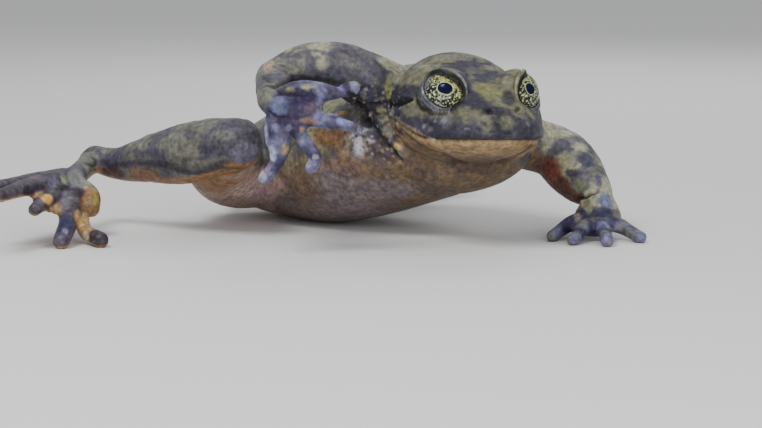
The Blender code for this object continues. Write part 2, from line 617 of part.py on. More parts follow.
def closed_pieces(mesh):
    """The mesh's separate closed surfaces, largest first, as bmesh grids."""
    grid = bmesh.new()
    grid.from_mesh(mesh)
    bmesh.ops.triangulate(grid, faces=grid.faces[:])
    left = set(grid.faces)
    groups = []
    while left:
        stack, group = [left.pop()], []
        while stack:
            face = stack.pop()
            group.append(face)
            for edge in face.edges:
                for other in edge.link_faces:
                    if other in left:
                        left.remove(other)
                        stack.append(other)
        groups.append(group)
    pieces = []
    for group in sorted(groups, key=len, reverse=True):
        order = {}
        for face in group:
            for corner in face.verts:
                order.setdefault(corner, len(order))
        points = np.array([corner.co[:] for corner in order]) / MM
        faces = [tuple(order[corner] for corner in face.verts) for face in group]
        pieces.append((points, faces))
    grid.free()
    return pieces


def cut_to_nodes(mesh):
    """Part the skin at the joints and hollow the eye sockets; name each piece."""
    body = bpy.data.objects.new("body", mesh)
    bpy.context.scene.collection.objects.link(body)
    cutters = bpy.data.collections.new("cutters")
    bpy.context.scene.collection.children.link(cutters)
    tools = joint_cuts() + [ball("socket", eye_centre(side), EYE_RADIUS + GAP) for side in (1, -1)]
    for tool in tools:
        tool.hide_render, tool.display_type = True, "WIRE"
        bpy.context.scene.collection.objects.unlink(tool)
        cutters.objects.link(tool)
    cut = body.modifiers.new("cut", "BOOLEAN")
    cut.operation, cut.operand_type, cut.solver = "DIFFERENCE", "COLLECTION", "MANIFOLD"
    cut.collection = cutters
    pieces = closed_pieces(evaluated(body))
    for tool in tools:
        bpy.data.objects.remove(tool)
    bpy.data.collections.remove(cutters)
    free = dict(NODES)
    for points, faces in pieces:
        if not free or len(faces) < 40:
            break
        middle = (points.max(axis=0) + points.min(axis=0)) / 2
        name = min(free, key=lambda key: np.linalg.norm(np.subtract(free[key], middle)))
        del free[name]
        node = mesh_object(name, points, faces)
        node.data.materials.append(finish(name))


def eyes():
    """The two eyeballs."""
    for side, name in ((1, "eye_right"), (-1, "eye_left")):
        eye = ball(name, eye_centre(side), EYE_RADIUS, segments=24)
        eye.data.materials.append(finish(name))
        eye.data.shade_smooth()


def centre_on_floor():
    """Move every node so that the origin is at the middle of the underside's box."""
    things = list(bpy.context.scene.objects)
    corners = np.concatenate([points_of(thing.data) for thing in things])
    low, high = corners.min(axis=0), corners.max(axis=0)
    shift = np.array([-(low[0] + high[0]) / 2, -(low[1] + high[1]) / 2, -low[2]])
    for thing in things:
        set_points(thing.data, points_of(thing.data) + shift)


def main():
    for thing in list(bpy.data.objects):
        bpy.data.objects.remove(thing, do_unlink=True)
    cut_to_nodes(whole_skin())
    eyes()
    centre_on_floor()


main()
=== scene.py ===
"""Looks of the sehuencas water frog: one skin over the whole body, the rims of its
lids, two eyes, a pale floor and soft studio light.  Sizes are millimetres in the
pose's own frame, which the part's origin shifts; meshes are metres."""
import math

import bpy
import numpy as np
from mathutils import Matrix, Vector
from mathutils.bvhtree import BVHTree


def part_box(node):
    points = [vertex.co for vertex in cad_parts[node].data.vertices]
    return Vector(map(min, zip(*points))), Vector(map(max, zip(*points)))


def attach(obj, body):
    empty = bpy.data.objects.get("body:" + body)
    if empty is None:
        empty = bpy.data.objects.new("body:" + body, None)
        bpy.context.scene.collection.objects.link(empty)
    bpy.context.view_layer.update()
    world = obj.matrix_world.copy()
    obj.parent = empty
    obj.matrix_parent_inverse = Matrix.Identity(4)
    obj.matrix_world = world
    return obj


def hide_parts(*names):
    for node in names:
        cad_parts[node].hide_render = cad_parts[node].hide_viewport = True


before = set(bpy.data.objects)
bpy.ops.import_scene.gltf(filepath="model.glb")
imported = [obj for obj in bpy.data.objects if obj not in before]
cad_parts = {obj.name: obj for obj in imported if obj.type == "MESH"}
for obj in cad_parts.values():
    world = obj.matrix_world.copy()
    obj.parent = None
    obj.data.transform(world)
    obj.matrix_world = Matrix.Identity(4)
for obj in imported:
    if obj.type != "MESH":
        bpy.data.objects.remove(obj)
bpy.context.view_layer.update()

MM = 0.001
VOXEL = 0.31
SMOOTHING = 5
FACES_KEPT = 0.68          # share of the skin's faces kept, outside the head
FINE_MIDDLE = (0, 4, 2)    # in the head's frame
FINE_REACH = 15.0          # the head's faces all stay this near to that middle
FLOOR_GAP = 0.02           # the skin comes no lower than this
PATH_STEPS = 40            # places at which a path is looked up
WEB_THICK, WEB_HOLLOW = 0.8, 0.12

# Head: its own frame has its origin midway between the corners of the mouth
HEAD_AT = np.array([11.2, 5.8, 17.1])
HEAD_YAW = 23.0          # degrees from -Y towards +X
HEAD_PITCH = -5.0        # nose down
HEAD_ROLL = 2.5          # right side up
HEAD_HALF_WIDTH = 10.2
HEAD_LENGTH = 15.7       # mouth corners to snout tip
HEAD_BACK = 9.5
HEAD_ROUNDNESS = 2.2     # power of the outline: 2 is an oval, more is boxier
CROWN_HEIGHT = 10.2
SNOUT_FALL = 5.5         # how much lower the snout tip is than the crown
THROAT_DEPTH = 5.8
CHIN_RISE = 1.9          # how much shallower the jaw is at the chin
MOUTH_SAG = 1.1          # the lips hang under the eyes
MOUTH_CORNER_RISE = -0.1
MOUTH_GROOVE = 0.55
MOUTH_LOW = -0.15        # the groove's middle, from the line of the lips
LIP_STEP = 0.6           # how far the lower jaw stands back

# Eyes and nostrils, in the head's frame for the right side: sideways, forward, up
EYE_AT = (5.35, 6.0, 4.75)
EYE_RADIUS = 3.2
EYE_TURN = 30.0          # degrees out from straight ahead
EYE_LIFT = 19.0
SOCKET_DEEP = 0.6        # how far the skin behind the ball lies under its surface
SKIN_LID = 3.6           # radius of the swelling that carries the lids
LID_RADIUS = 4.0
LID_FRONT, LID_REAR, LID_HIGH = 51.0, 80.0, 50.0   # half angles of the opening
LID_FOLDS = 2.6          # folds below and behind the eye
PUPIL_TILT = 20.0        # degrees
NOSTRIL_AT = (2.15, 13.6, 3.5)
NOSTRIL_INTO = (0.25, 0.8, 0.55)
NOSTRIL_RADIUS, NOSTRIL_DEPTH, NOSTRIL_RIM = 0.6, 0.9, 0.12
LORE_AT = (6.9, 10.4, 2.6)    # hollow between the eye and the lip
LORE_INTO = (0.8, 0.6, 0.1)
LORE_REACH, LORE_DEPTH = 2.3, 0.8

# Spine from the head back to the vent: x, y, z, half width, half height, roll
SPINE = (
    (15.4, 4.8, 17.2, 7.6, 6.2, 3),
    (13.2, 9.0, 15.4, 10.2, 8.3, 7),
    (10.0, 13.7, 15.0, 12.4, 9.3, 12),
    (6.0, 18.1, 14.1, 14.0, 9.9, 15),
    (2.1, 22.3, 12.8, 15.0, 10.2, 14),
    (-1.8, 26.0, 11.6, 15.0, 10.4, 12),
    (-5.6, 29.2, 10.4, 14.2, 10.2, 10),
    (-10.0, 32.4, 9.2, 12.6, 9.3, 7),
    (-14.0, 35.1, 8.1, 10.6, 8.0, 4),
    (-18.5, 37.7, 7.2, 7.8, 6.2, 2),
    (-21.8, 39.6, 6.8, 4.5, 4.2, 0),
)

# Limbs: x, y, z and radius at each station
RIGHT_SHOULDER, RIGHT_ELBOW, RIGHT_WRIST = (-2.1, 8.0, 22.6), (-14.4, 3.2, 23.4), (-14.5, -8.2, 20.7)
RIGHT_UPPER_ARM = (
    (3.5, 11.5, 19.5, 4.3),
    (*RIGHT_SHOULDER, 4.0),
    (-6.4, 6.4, 24.6, 3.5),
    (-11.3, 4.6, 24.7, 2.95),
    (*RIGHT_ELBOW, 2.6),
)
RIGHT_FOREARM = (
    (-13.8, 3.8, 23.8, 2.3),
    (*RIGHT_ELBOW, 2.6),
    (-14.7, 0.2, 22.6, 2.6),
    (-14.8, -4.4, 21.5, 2.2),
    (*RIGHT_WRIST, 1.9),
    (-13.8, -9.2, 20.2, 1.8),
)
RIGHT_PALM = (
    (-14.6, -8.0, 20.9, 1.9, 1.5, 0),
    (-13.0, -9.2, 20.4, 2.6, 1.35, 0),
    (-10.8, -9.4, 20.1, 2.9, 1.2, 0),
    (-8.8, -9.6, 19.9, 2.3, 1.0, 0),
)
RIGHT_FINGERS = (
    ((-12.4, -9.2, 21.2, 1.5), (-9.2, -9.5, 21.9, 1.35), (-6.2, -9.9, 22.2, 0.95), (-3.7, -10.3, 22.9, 0.95)),
    ((-11.0, -9.4, 19.8, 1.4), (-8.4, -9.7, 18.5, 1.1), (-6.2, -10.0, 18.1, 0.9), (-4.2, -10.2, 17.7, 0.75)),
    ((-11.8, -9.4, 18.8, 1.4), (-11.0, -9.7, 16.7, 1.05), (-9.6, -10.0, 14.6, 0.95), (-8.8, -10.2, 13.0, 0.9),
     (-9.5, -10.4, 12.0, 0.85)),
    ((-13.8, -9.2, 19.0, 1.7), (-14.1, -9.5, 16.4, 1.6), (-13.7, -9.8, 14.2, 1.35), (-14.3, -10.0, 12.4, 1.0),
     (-15.7, -10.2, 10.7, 0.95)),
)

LEFT_SHOULDER, LEFT_ELBOW, LEFT_WRIST = (17.2, 18.0, 13.6), (25.8, 23.2, 10.9), (31.1, 12.8, 5.4)
LEFT_UPPER_ARM = (
    (12.5, 15.6, 14.8, 4.4),
    (*LEFT_SHOULDER, 4.0),
    (21.4, 21.0, 12.4, 3.9),
    (*LEFT_ELBOW, 3.8),
)
LEFT_FOREARM = (
    (25.2, 23.7, 11.4, 3.2),
    (*LEFT_ELBOW, 3.7),
    (27.2, 20.4, 9.6, 4.2),
    (29.2, 16.5, 7.5, 3.7),
    (*LEFT_WRIST, 2.2),
    (31.1, 11.0, 4.2, 1.9),
)
LEFT_PALM = (
    (*LEFT_WRIST, 2.1, 1.6, 0),
    (31.0, 10.6, 3.6, 3.2, 1.3, 0),
    (30.4, 8.0, 2.1, 3.6, 1.15, 0),
    (29.8, 6.2, 1.5, 3.0, 1.0, 0),
)
LEFT_FINGERS = (
    ((29.4, 9.4, 2.6, 1.3), (27.2, 8.6, 2.2, 1.15), (25.4, 7.0, 1.3, 0.95), (24.2, 5.2, 0.75, 0.95)),
    ((29.6, 7.6, 2.0, 1.3), (28.4, 5.2, 1.9, 1.1), (27.6, 3.0, 1.2, 0.95), (26.8, 1.2, 0.75, 0.95)),
    ((31.0, 7.4, 2.0, 1.3), (31.2, 4.6, 1.9, 1.1), (31.4, 2.0, 1.2, 0.95), (31.4, -0.4, 0.75, 0.95)),
    ((32.4, 8.6, 2.3, 1.3), (34.0, 6.8, 1.9, 1.1), (35.4, 5.2, 1.2, 0.95), (36.4, 3.6, 0.75, 0.95)),
)

RIGHT_KNEE, RIGHT_HEEL, RIGHT_FOOT = (-20.2, 9.0, 13.6), (-42.2, 24.3, 9.7), (-44.6, 13.4, 7.5)
RIGHT_THIGH = (
    (-15.5, 35.0, 7.4, 5.6),
    (-19.8, 32.0, 7.7, 6.2),
    (-22.6, 26.0, 8.9, 6.2),
    (-22.8, 19.5, 10.8, 5.2),
    (-21.4, 13.4, 12.7, 4.1),
    (*RIGHT_KNEE, 3.5),
)
RIGHT_SHANK = (
    (*RIGHT_KNEE, 3.4, 3.4, 0),
    (-24.0, 11.6, 12.7, 3.6, 4.2, 0),
    (-28.3, 14.7, 11.4, 3.4, 4.3, 0),
    (-33.2, 18.2, 10.4, 2.7, 3.6, 0),
    (-38.4, 21.8, 9.3, 1.7, 2.4, 0),
    (*RIGHT_HEEL, 1.9, 1.95, 0),
)
RIGHT_TARSUS = (
    (*RIGHT_HEEL, 1.9),
    (-43.3, 21.0, 8.8, 1.6),
    (-44.2, 17.0, 8.0, 1.7),
    (*RIGHT_FOOT, 2.0),
    (-44.9, 10.8, 7.2, 1.9),
)
RIGHT_TOES = (
    ((-44.0, 12.6, 6.9, 1.4), (-42.7, 8.2, 3.8, 1.2), (-41.5, 3.6, 1.7, 1.05), (-38.9, -1.0, 1.0, 1.2)),
    ((-44.6, 12.2, 7.4, 1.8), (-44.0, 7.0, 5.4, 1.6), (-43.7, 2.6, 3.2, 1.4), (-44.2, -2.2, 1.05, 1.25)),
    ((-45.0, 12.2, 7.6, 1.6), (-45.8, 7.2, 6.9, 1.25), (-46.8, 1.6, 6.1, 1.05), (-47.6, -3.8, 5.6, 0.95)),
    ((-45.4, 12.4, 7.8, 1.7), (-47.6, 6.0, 8.1, 1.4), (-49.8, -1.6, 8.2, 1.15), (-51.6, -9.0, 8.1, 0.95)),
    ((-45.6, 13.2, 8.0, 1.6), (-48.4, 8.6, 8.3, 1.25), (-51.0, 2.8, 8.5, 1.05), (-53.2, -3.4, 8.6, 0.95)),
)

RIGHT_SOLE = (
    (-43.6, 12.2, 6.8, 1.8),
    (-42.0, 11.2, 5.6, 1.9),
    (-41.3, 9.2, 4.3, 1.4),
)
# How far along each toe its web reaches, inner toe first
WEB_REACH = (0.62, 0.70, 0.95, 0.64, 0.85)

LEFT_KNEE, LEFT_HEEL, LEFT_FOOT = (6.8, 53.6, 9.4), (-18.4, 60.2, 4.4), (-5.4, 66.2, 2.6)
LEFT_THIGH = (
    (-16.5, 37.0, 7.4, 5.4),
    (-13.5, 40.6, 7.6, 6.0),
    (-7.8, 45.2, 7.9, 6.0),
    (-1.2, 49.0, 8.5, 5.2),
    (3.6, 51.6, 9.1, 4.2),
    (*LEFT_KNEE, 3.5),
)
LEFT_SHANK = (
    (*LEFT_KNEE, 3.4),
    (1.8, 55.6, 8.5, 3.8),
    (-3.4, 57.2, 7.4, 3.6),
    (-9.2, 58.6, 6.2, 2.9),
    (-14.6, 59.8, 5.0, 2.1),
    (*LEFT_HEEL, 1.95),
)
LEFT_TARSUS = (
    (*LEFT_HEEL, 1.9),
    (-14.2, 64.0, 3.4, 1.7),
    (-9.6, 65.4, 2.8, 1.75),
    (*LEFT_FOOT, 1.9),
    (-3.0, 66.6, 2.2, 1.8),
)
LEFT_TOES = (
    ((-4.8, 65.8, 2.4, 1.4), (-1.0, 64.4, 1.7, 1.05), (2.2, 63.4, 0.95, 0.95), (5.0, 62.8, 0.8, 1.0)),
    ((-4.6, 66.0, 2.4, 1.5), (0.8, 65.0, 1.8, 1.15), (5.4, 64.2, 0.95, 0.95), (9.6, 63.8, 0.8, 1.0)),
    ((-4.6, 66.2, 2.4, 1.5), (2.0, 66.2, 1.8, 1.2), (8.2, 66.2, 0.95, 0.95), (14.0, 66.4, 0.8, 1.0)),
    ((-4.6, 66.5, 2.4, 1.5), (2.4, 67.8, 1.8, 1.25), (9.2, 69.2, 0.95, 0.95), (16.0, 70.8, 0.8, 1.0)),
    ((-4.8, 66.9, 2.4, 1.4), (1.0, 69.4, 1.8, 1.15), (6.4, 72.0, 0.95, 0.95), (11.2, 74.6, 0.8, 1.0)),
)


def unit(vector):
    """The vector, or each row of vectors, at length one."""
    vector = np.asarray(vector, float)
    return vector / np.maximum(np.linalg.norm(vector, axis=-1, keepdims=True), 1e-9)


def smoothstep(low, high, value):
    """0 below low, 1 above high, with a smooth rise between (falls when low > high)."""
    t = np.clip((value - low) / (high - low), 0, 1)
    return t * t * (3 - 2 * t)


def bell(value, middle, width):
    """1 at the middle, falling on both sides as exp(-((value - middle) / width)**2)."""
    return np.exp(-((value - middle) / width) ** 2)


def through(stations, steps):
    """A smooth row of points through the stations: cubic pieces whose slope at a
    station is the slope between its neighbours, evenly spaced along the length."""
    rows = np.asarray(stations, float)
    run = np.concatenate([[0], np.cumsum(np.linalg.norm(np.diff(rows[:, :3], axis=0), axis=1))])
    slope = np.gradient(rows, run, axis=0)
    at = np.linspace(0, run[-1], steps)
    piece = np.clip(np.searchsorted(run, at, side="right") - 1, 0, len(run) - 2)
    span = (run[piece + 1] - run[piece])[:, None]
    t = (at - run[piece])[:, None] / span
    start, end = rows[piece], rows[piece + 1]
    return ((2 * t**3 - 3 * t**2 + 1) * start + (t**3 - 2 * t**2 + t) * span * slope[piece]
            + (3 * t**2 - 2 * t**3) * end + (t**3 - t**2) * span * slope[piece + 1])


def head_axes():
    """The head's rightward, forward and upward directions."""
    yaw, pitch, roll = math.radians(HEAD_YAW), math.radians(HEAD_PITCH), math.radians(HEAD_ROLL)
    forward = np.array([math.sin(yaw) * math.cos(pitch), -math.cos(yaw) * math.cos(pitch), math.sin(pitch)])
    level = unit(np.cross(forward, (0, 0, 1)))
    right = level * math.cos(roll) + np.cross(level, forward) * math.sin(roll)
    return right, forward, np.cross(right, forward)


RIGHTWARD, FORWARD, UPWARD = head_axes()


def in_world(points):
    """From the head's frame (right, forward, up) to the pose's."""
    points = np.asarray(points, float)
    return HEAD_AT + points[..., 0:1] * RIGHTWARD + points[..., 1:2] * FORWARD + points[..., 2:3] * UPWARD


def in_head(points):
    """From the pose's frame to the head's."""
    return (np.asarray(points) - HEAD_AT) @ np.stack([RIGHTWARD, FORWARD, UPWARD], axis=1)


def on_side(place, side):
    """A place or direction of the head's frame, on its right (side 1) or left (-1)."""
    return np.array([side * place[0], *place[1:]])


def eye_centre(side):
    """The middle of the frog's right eye (side 1) or left eye (-1)."""
    return in_world(on_side(EYE_AT, side))


def eye_frame(side):
    """Where an eye looks, and the directions square to that towards its front corner
    and towards its upper lid."""
    turn, lift = math.radians(EYE_TURN), math.radians(EYE_LIFT)
    axis = unit(side * math.sin(turn) * math.cos(lift) * RIGHTWARD
                + math.cos(turn) * math.cos(lift) * FORWARD + math.sin(lift) * UPWARD)
    front = unit(FORWARD - axis * (FORWARD @ axis))
    return axis, front, side * np.cross(axis, front)


def off_nostril(local, side):
    """Each point's distance to a nostril, all in the head's frame."""
    return np.linalg.norm(local - on_side(NOSTRIL_AT, side), axis=1)


def gape_per_degree(bearing):
    """How much of the way to the lids' rim one degree away from the eye's axis is, at a
    bearing: the opening is an oval, longer behind than in front."""
    wide = np.where(np.cos(bearing) > 0, LID_FRONT, LID_REAR)
    return np.hypot(np.cos(bearing) / wide, np.sin(bearing) / LID_HIGH)


def about_eye(points, side):
    """For each point, seen from the middle of an eye: its distance, how far out it
    is in the opening of the lids (1 on their rim), and its bearing round the eye in
    degrees (0 at the front corner, 90 above)."""
    axis, front, above = eye_frame(side)
    out = points - eye_centre(side)
    far = np.linalg.norm(out, axis=1)
    lean = np.degrees(np.arccos(np.clip((out @ axis) / np.maximum(far, 1e-6), -1, 1)))
    bearing = np.arctan2(out @ above, out @ front)
    return far, lean * gape_per_degree(bearing), np.degrees(bearing)


def from_eye(side, lean, turn, far):
    """The places that an eye's middle sees at the angle lean from the eye's axis and the
    bearing turn round it, both in radians, and at the distance far."""
    axis, front, above = eye_frame(side)
    way = (np.cos(lean)[..., None] * axis + np.sin(lean)[..., None]
           * (np.cos(turn)[..., None] * front + np.sin(turn)[..., None] * above))
    return eye_centre(side) + far[..., None] * way


def lower_rear(bearing):
    """1 where the lid hangs in folds, below and behind the eye, and 0 above it."""
    bearing = (bearing + 360) % 360
    return smoothstep(160, 195, bearing) * smoothstep(335, 290, bearing)


def box_middle(node):
    """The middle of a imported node's box, in millimetres."""
    low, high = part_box(node)
    return (np.array(low[:]) + np.array(high[:])) / 2 / MM


# What the part's origin adds to every place in the pose's frame
SHIFT = box_middle("eye_right") - eye_centre(1)


def in_scene(name, data):
    """A new object of the scene."""
    thing = bpy.data.objects.new(name, data)
    bpy.context.scene.collection.objects.link(thing)
    return thing


def mesh_object(name, points, faces):
    """A mesh object from points in the pose's frame, set at its place in the part."""
    mesh = bpy.data.meshes.new(name)
    mesh.from_pydata(((np.asarray(points) + SHIFT) * MM).tolist(), [], [tuple(face) for face in faces])
    mesh.update()
    return in_scene(name, mesh)


def points_of(mesh):
    """The mesh's points in the pose's frame."""
    flat = np.empty(len(mesh.vertices) * 3)
    mesh.vertices.foreach_get("co", flat)
    return flat.reshape(-1, 3) / MM - SHIFT


def set_points(mesh, points):
    """Write points of the pose's frame back into the mesh."""
    mesh.vertices.foreach_set("co", ((points + SHIFT) * MM).ravel())
    mesh.update()


def normals_of(mesh):
    """The mesh's normal at each point."""
    flat = np.empty(len(mesh.vertices) * 3)
    mesh.vertex_normals.foreach_get("vector", flat)
    return flat.reshape(-1, 3)


def paint(thing, layer, colours):
    """Keep one colour a point in a named layer of the thing's mesh."""
    made = thing.data.attributes.new(layer, "FLOAT_COLOR", "POINT")
    made.data.foreach_set("color", np.column_stack([colours, np.ones(len(colours))]).ravel())


def ring_faces(rings, sides):
    """Quads between rings of points, with a pole point before the first and after the last."""
    row = np.arange(rings - 1)[:, None] * sides + 1
    side = np.arange(sides)[None, :]
    beside = (side + 1) % sides
    quads = np.stack([row + side, row + beside, row + sides + beside, row + sides + side], -1)
    quads = quads.reshape(-1, 4)
    side, beside = side[0], beside[0]
    last = 1 + (rings - 1) * sides
    first_fan = np.stack([0 * side, 1 + beside, 1 + side], -1)
    last_fan = np.stack([0 * side + last + sides, last + side, last + beside], -1)
    return quads.tolist() + first_fan.tolist() + last_fan.tolist()


def tube(name, stations, steps, sides=28, up=(0, 0, 1), squareness=2.0, cap_rings=5):
    """An oval section carried along a smooth path, with rounded ends.  A station is
    x, y, z, radius, or x, y, z, half width, half height and roll in degrees."""
    rows = np.asarray(stations, float)
    if rows.shape[1] == 4:
        rows = np.column_stack([rows, rows[:, 3], np.zeros(len(rows))])
    rows = through(rows, steps)
    ahead = unit(np.gradient(rows[:, :3], axis=0))
    across = unit(np.cross(ahead, np.asarray(up, float)))
    above = np.cross(across, ahead)
    cap = np.radians(np.linspace(0, 90, cap_rings + 2)[1:-1])
    shrink = np.concatenate([np.cos(cap[::-1]), np.ones(steps), np.cos(cap)])
    which = np.concatenate([np.zeros(cap_rings, int), np.arange(steps), np.full(cap_rings, steps - 1)])
    push = np.concatenate([-np.sin(cap[::-1]), np.zeros(steps), np.sin(cap)])
    reach = rows[which, 3:5].min(axis=1)
    middle = rows[which, :3] + ahead[which] * (push * reach)[:, None]
    turn = 2 * np.pi * np.arange(sides) / sides
    roll = np.radians(rows[which, 5])[:, None]
    wide = np.sign(np.cos(turn)) * np.abs(np.cos(turn)) ** (2 / squareness)
    high = np.sign(np.sin(turn)) * np.abs(np.sin(turn)) ** (2 / squareness)
    wide = wide * rows[which, 3:4] * shrink[:, None]
    high = high * rows[which, 4:5] * shrink[:, None]
    sideways = wide * np.cos(roll) - high * np.sin(roll)
    upward = wide * np.sin(roll) + high * np.cos(roll)
    points = (middle[:, None] + across[which][:, None] * sideways[..., None]
              + above[which][:, None] * upward[..., None])
    first = rows[0, :3] - ahead[0] * reach[0]
    final = rows[-1, :3] + ahead[-1] * reach[-1]
    points = np.concatenate([[first], points.reshape(-1, 3), [final]])
    return mesh_object(name, points, ring_faces(len(which), sides))


def plan_reach(bearing):
    """How far the outline of the lips is from the head's middle, at a bearing from
    straight ahead: a superellipse, longer towards the snout than towards the neck."""
    ahead = np.cos(bearing)
    length = np.where(ahead > 0, HEAD_LENGTH, HEAD_BACK)
    total = (np.abs(np.sin(bearing) / HEAD_HALF_WIDTH) ** HEAD_ROUNDNESS
             + np.abs(ahead / length) ** HEAD_ROUNDNESS)
    return total ** (-1 / HEAD_ROUNDNESS)


def mouth_height(bearing):
    """How far the line of the lips is above the plane of the mouth's corners: it hangs
    under the eyes and rises again at the corners."""
    away = np.degrees(np.abs((bearing + np.pi) % (2 * np.pi) - np.pi))
    return MOUTH_CORNER_RISE * smoothstep(72, 105, away) - MOUTH_SAG * bell(away, 50, 26)


def roof(forward):
    """Height of the head's middle line, which falls from the crown to the snout."""
    return CROWN_HEIGHT - SNOUT_FALL * smoothstep(-8, 15, forward)


def head_shell():
    """The head as a function of bearing and height angle: the lip outline scaled
    inwards by one superellipse up to the roof and by another down to the throat."""
    columns, rows = 128, 34
    bearing = 2 * np.pi * np.arange(columns) / columns
    reach = plan_reach(bearing)
    lips = mouth_height(bearing)
    boxy = 2.15 + 1.25 * np.clip(np.cos(bearing), 0, 1) ** 3
    angle = np.radians(np.linspace(89, 0, rows))[:, None]
    inward, rise = np.cos(angle) ** (2 / boxy), np.sin(angle) ** (2 / boxy)
    upper_z = roof(np.cos(bearing) * reach * inward) * rise + lips * (1 - rise)
    below = np.radians(np.linspace(3, 89, rows - 2))[:, None]
    stand_back = 1 - LIP_STEP / HEAD_HALF_WIDTH
    lower_in = stand_back * np.cos(below) ** (2 / HEAD_ROUNDNESS) + 0 * bearing
    dip = np.sin(below) + 0 * bearing
    floor = THROAT_DEPTH - CHIN_RISE * smoothstep(0, 15, np.cos(bearing) * reach * lower_in)
    inward = np.concatenate([inward, lower_in])
    height = np.concatenate([upper_z, lips * (1 - dip) - floor * dip])
    points = np.stack([np.sin(bearing) * reach * inward, np.cos(bearing) * reach * inward, height], axis=-1)
    points = np.concatenate([[(0, 0, roof(0))], points.reshape(-1, 3), [(0, 0, -THROAT_DEPTH)]])
    return mesh_object("head_shell", in_world(points), ring_faces(2 * rows - 2, columns))


def ball(name, centre, radius, rings=40, sides=48):
    """A sphere: rings of points at even angles from the pole above its centre."""
    side = unit((-0.2, 0.3, 0.0))
    other = np.array([-side[1], side[0], 0.0])
    lean = np.pi * (np.arange(rings) + 1)[:, None, None] / (rings + 1)
    turn = 2 * np.pi * np.arange(sides) / sides
    around = side * np.cos(turn)[:, None] - other * np.sin(turn)[:, None]
    up = np.array([0.0, 0.0, 1.0])
    points = centre + radius * (np.cos(lean) * up + np.sin(lean) * around[None])
    points = np.concatenate([[centre + up * radius], points.reshape(-1, 3), [centre - up * radius]])
    return mesh_object(name, points, ring_faces(rings, sides))


def web(name, toe, beside, reach):
    """The skin between two toes: a sheet ruled from one toe's path to the other's, out
    to its own reach on each, whose free edge is hollowed towards the foot."""
    along, across, last = 22, 11, PATH_STEPS - 1
    a, b = through(toe, PATH_STEPS)[:, :3], through(beside, PATH_STEPS)[:, :3]
    share = np.linspace(0, 1, across)[None, :]
    edge = reach[0] * (1 - share) + reach[1] * share - WEB_HOLLOW * 4 * share * (1 - share)
    at = np.linspace(0.06, 1, along)[:, None] * edge * last
    index = np.floor(at).astype(int)
    part = (at - index)[..., None]
    on_a = a[index] * (1 - part) + a[np.minimum(index + 1, last)] * part
    on_b = b[index] * (1 - part) + b[np.minimum(index + 1, last)] * part
    sheet = on_a * (1 - share[..., None]) + on_b * share[..., None]
    normal = unit(np.cross(np.gradient(sheet, axis=0), np.gradient(sheet, axis=1)))
    half = normal * WEB_THICK / 2
    points = np.concatenate([(sheet + half).reshape(-1, 3), (sheet - half).reshape(-1, 3)])
    count = along * across
    corner = (np.arange(along - 1)[:, None] * across + np.arange(across - 1)[None, :]).ravel()
    top = np.stack([corner, corner + across, corner + across + 1, corner + 1], -1)
    rim = np.concatenate([np.arange(across), np.arange(1, along) * across + across - 1,
                          (along - 1) * across + np.arange(across - 2, -1, -1),
                          np.arange(along - 2, 0, -1) * across])
    after = np.roll(rim, -1)
    wall = np.stack([rim, after, after + count, rim + count], -1)
    faces = np.concatenate([top, top[:, ::-1] + count, wall]).tolist()
    return mesh_object(name, points, faces)


LIMBS = {
    "upper_arm_right": RIGHT_UPPER_ARM, "forearm_right": RIGHT_FOREARM,
    "upper_arm_left": LEFT_UPPER_ARM, "forearm_left": LEFT_FOREARM,
    "thigh_right": RIGHT_THIGH, "shank_right": RIGHT_SHANK, "tarsus_right": RIGHT_TARSUS,
    "thigh_left": LEFT_THIGH, "shank_left": LEFT_SHANK, "tarsus_left": LEFT_TARSUS,
}
DIGITS = {
    "finger_right": RIGHT_FINGERS, "finger_left": LEFT_FINGERS,
    "toe_right": RIGHT_TOES, "toe_left": LEFT_TOES,
}
FLESH_NODES = ["head", "torso"] + [f"{part}_{side}" for side in ("right", "left") for part in (
    "upper_arm", "forearm", "hand", "thigh", "shank", "tarsus", "foot")]


def flesh_pieces():
    """Every closed piece that the skin is drawn over."""
    pieces = [tube("spine", SPINE, 80, sides=64, squareness=2.15, cap_rings=10), head_shell()]
    for side in (1, -1):
        pieces.append(ball("lid_bulge", eye_centre(side), SKIN_LID))
    for name, stations in LIMBS.items():
        pieces.append(tube(name, stations, 40))
    pieces.append(tube("palm_right", RIGHT_PALM, 16, up=(0, -1, 0)))
    pieces.append(tube("palm_left", LEFT_PALM, 16))
    pieces.append(tube("sole_right", RIGHT_SOLE, 12))
    for name, digits in DIGITS.items():
        for number, digit in enumerate(digits):
            pieces.append(tube(f"{name}_{number}", digit, 36, sides=20, up=(0.3, 0.1, 1)))
    for toes in (RIGHT_TOES, LEFT_TOES):
        for toe, beside, reach in zip(toes, toes[1:], zip(WEB_REACH, WEB_REACH[1:])):
            pieces.append(web("web", toe, beside, reach))
    return pieces


def evaluated(thing, name):
    """A new object that holds the thing's mesh with its modifiers applied."""
    depsgraph = bpy.context.evaluated_depsgraph_get()
    mesh = bpy.data.meshes.new_from_object(thing.evaluated_get(depsgraph))
    bpy.data.objects.remove(thing)
    mesh.name = name
    return in_scene(name, mesh)


def drawn_over(pieces, name):
    """One closed surface over overlapping closed pieces: their meshes side by side,
    remeshed on even cells and smoothed."""
    points, faces, start = [], [], 0
    for piece in pieces:
        own = points_of(piece.data)
        points.append(own)
        faces += [tuple(start + corner for corner in face.vertices) for face in piece.data.polygons]
        start += len(own)
        bpy.data.objects.remove(piece)
    thing = mesh_object(name, np.concatenate(points), faces)
    remesh = thing.modifiers.new("remesh", "REMESH")
    remesh.mode, remesh.voxel_size, remesh.adaptivity = "VOXEL", VOXEL * MM, 0
    smooth = thing.modifiers.new("smooth", "SMOOTH")
    smooth.factor, smooth.iterations = 0.5, SMOOTHING
    return evaluated(thing, name)


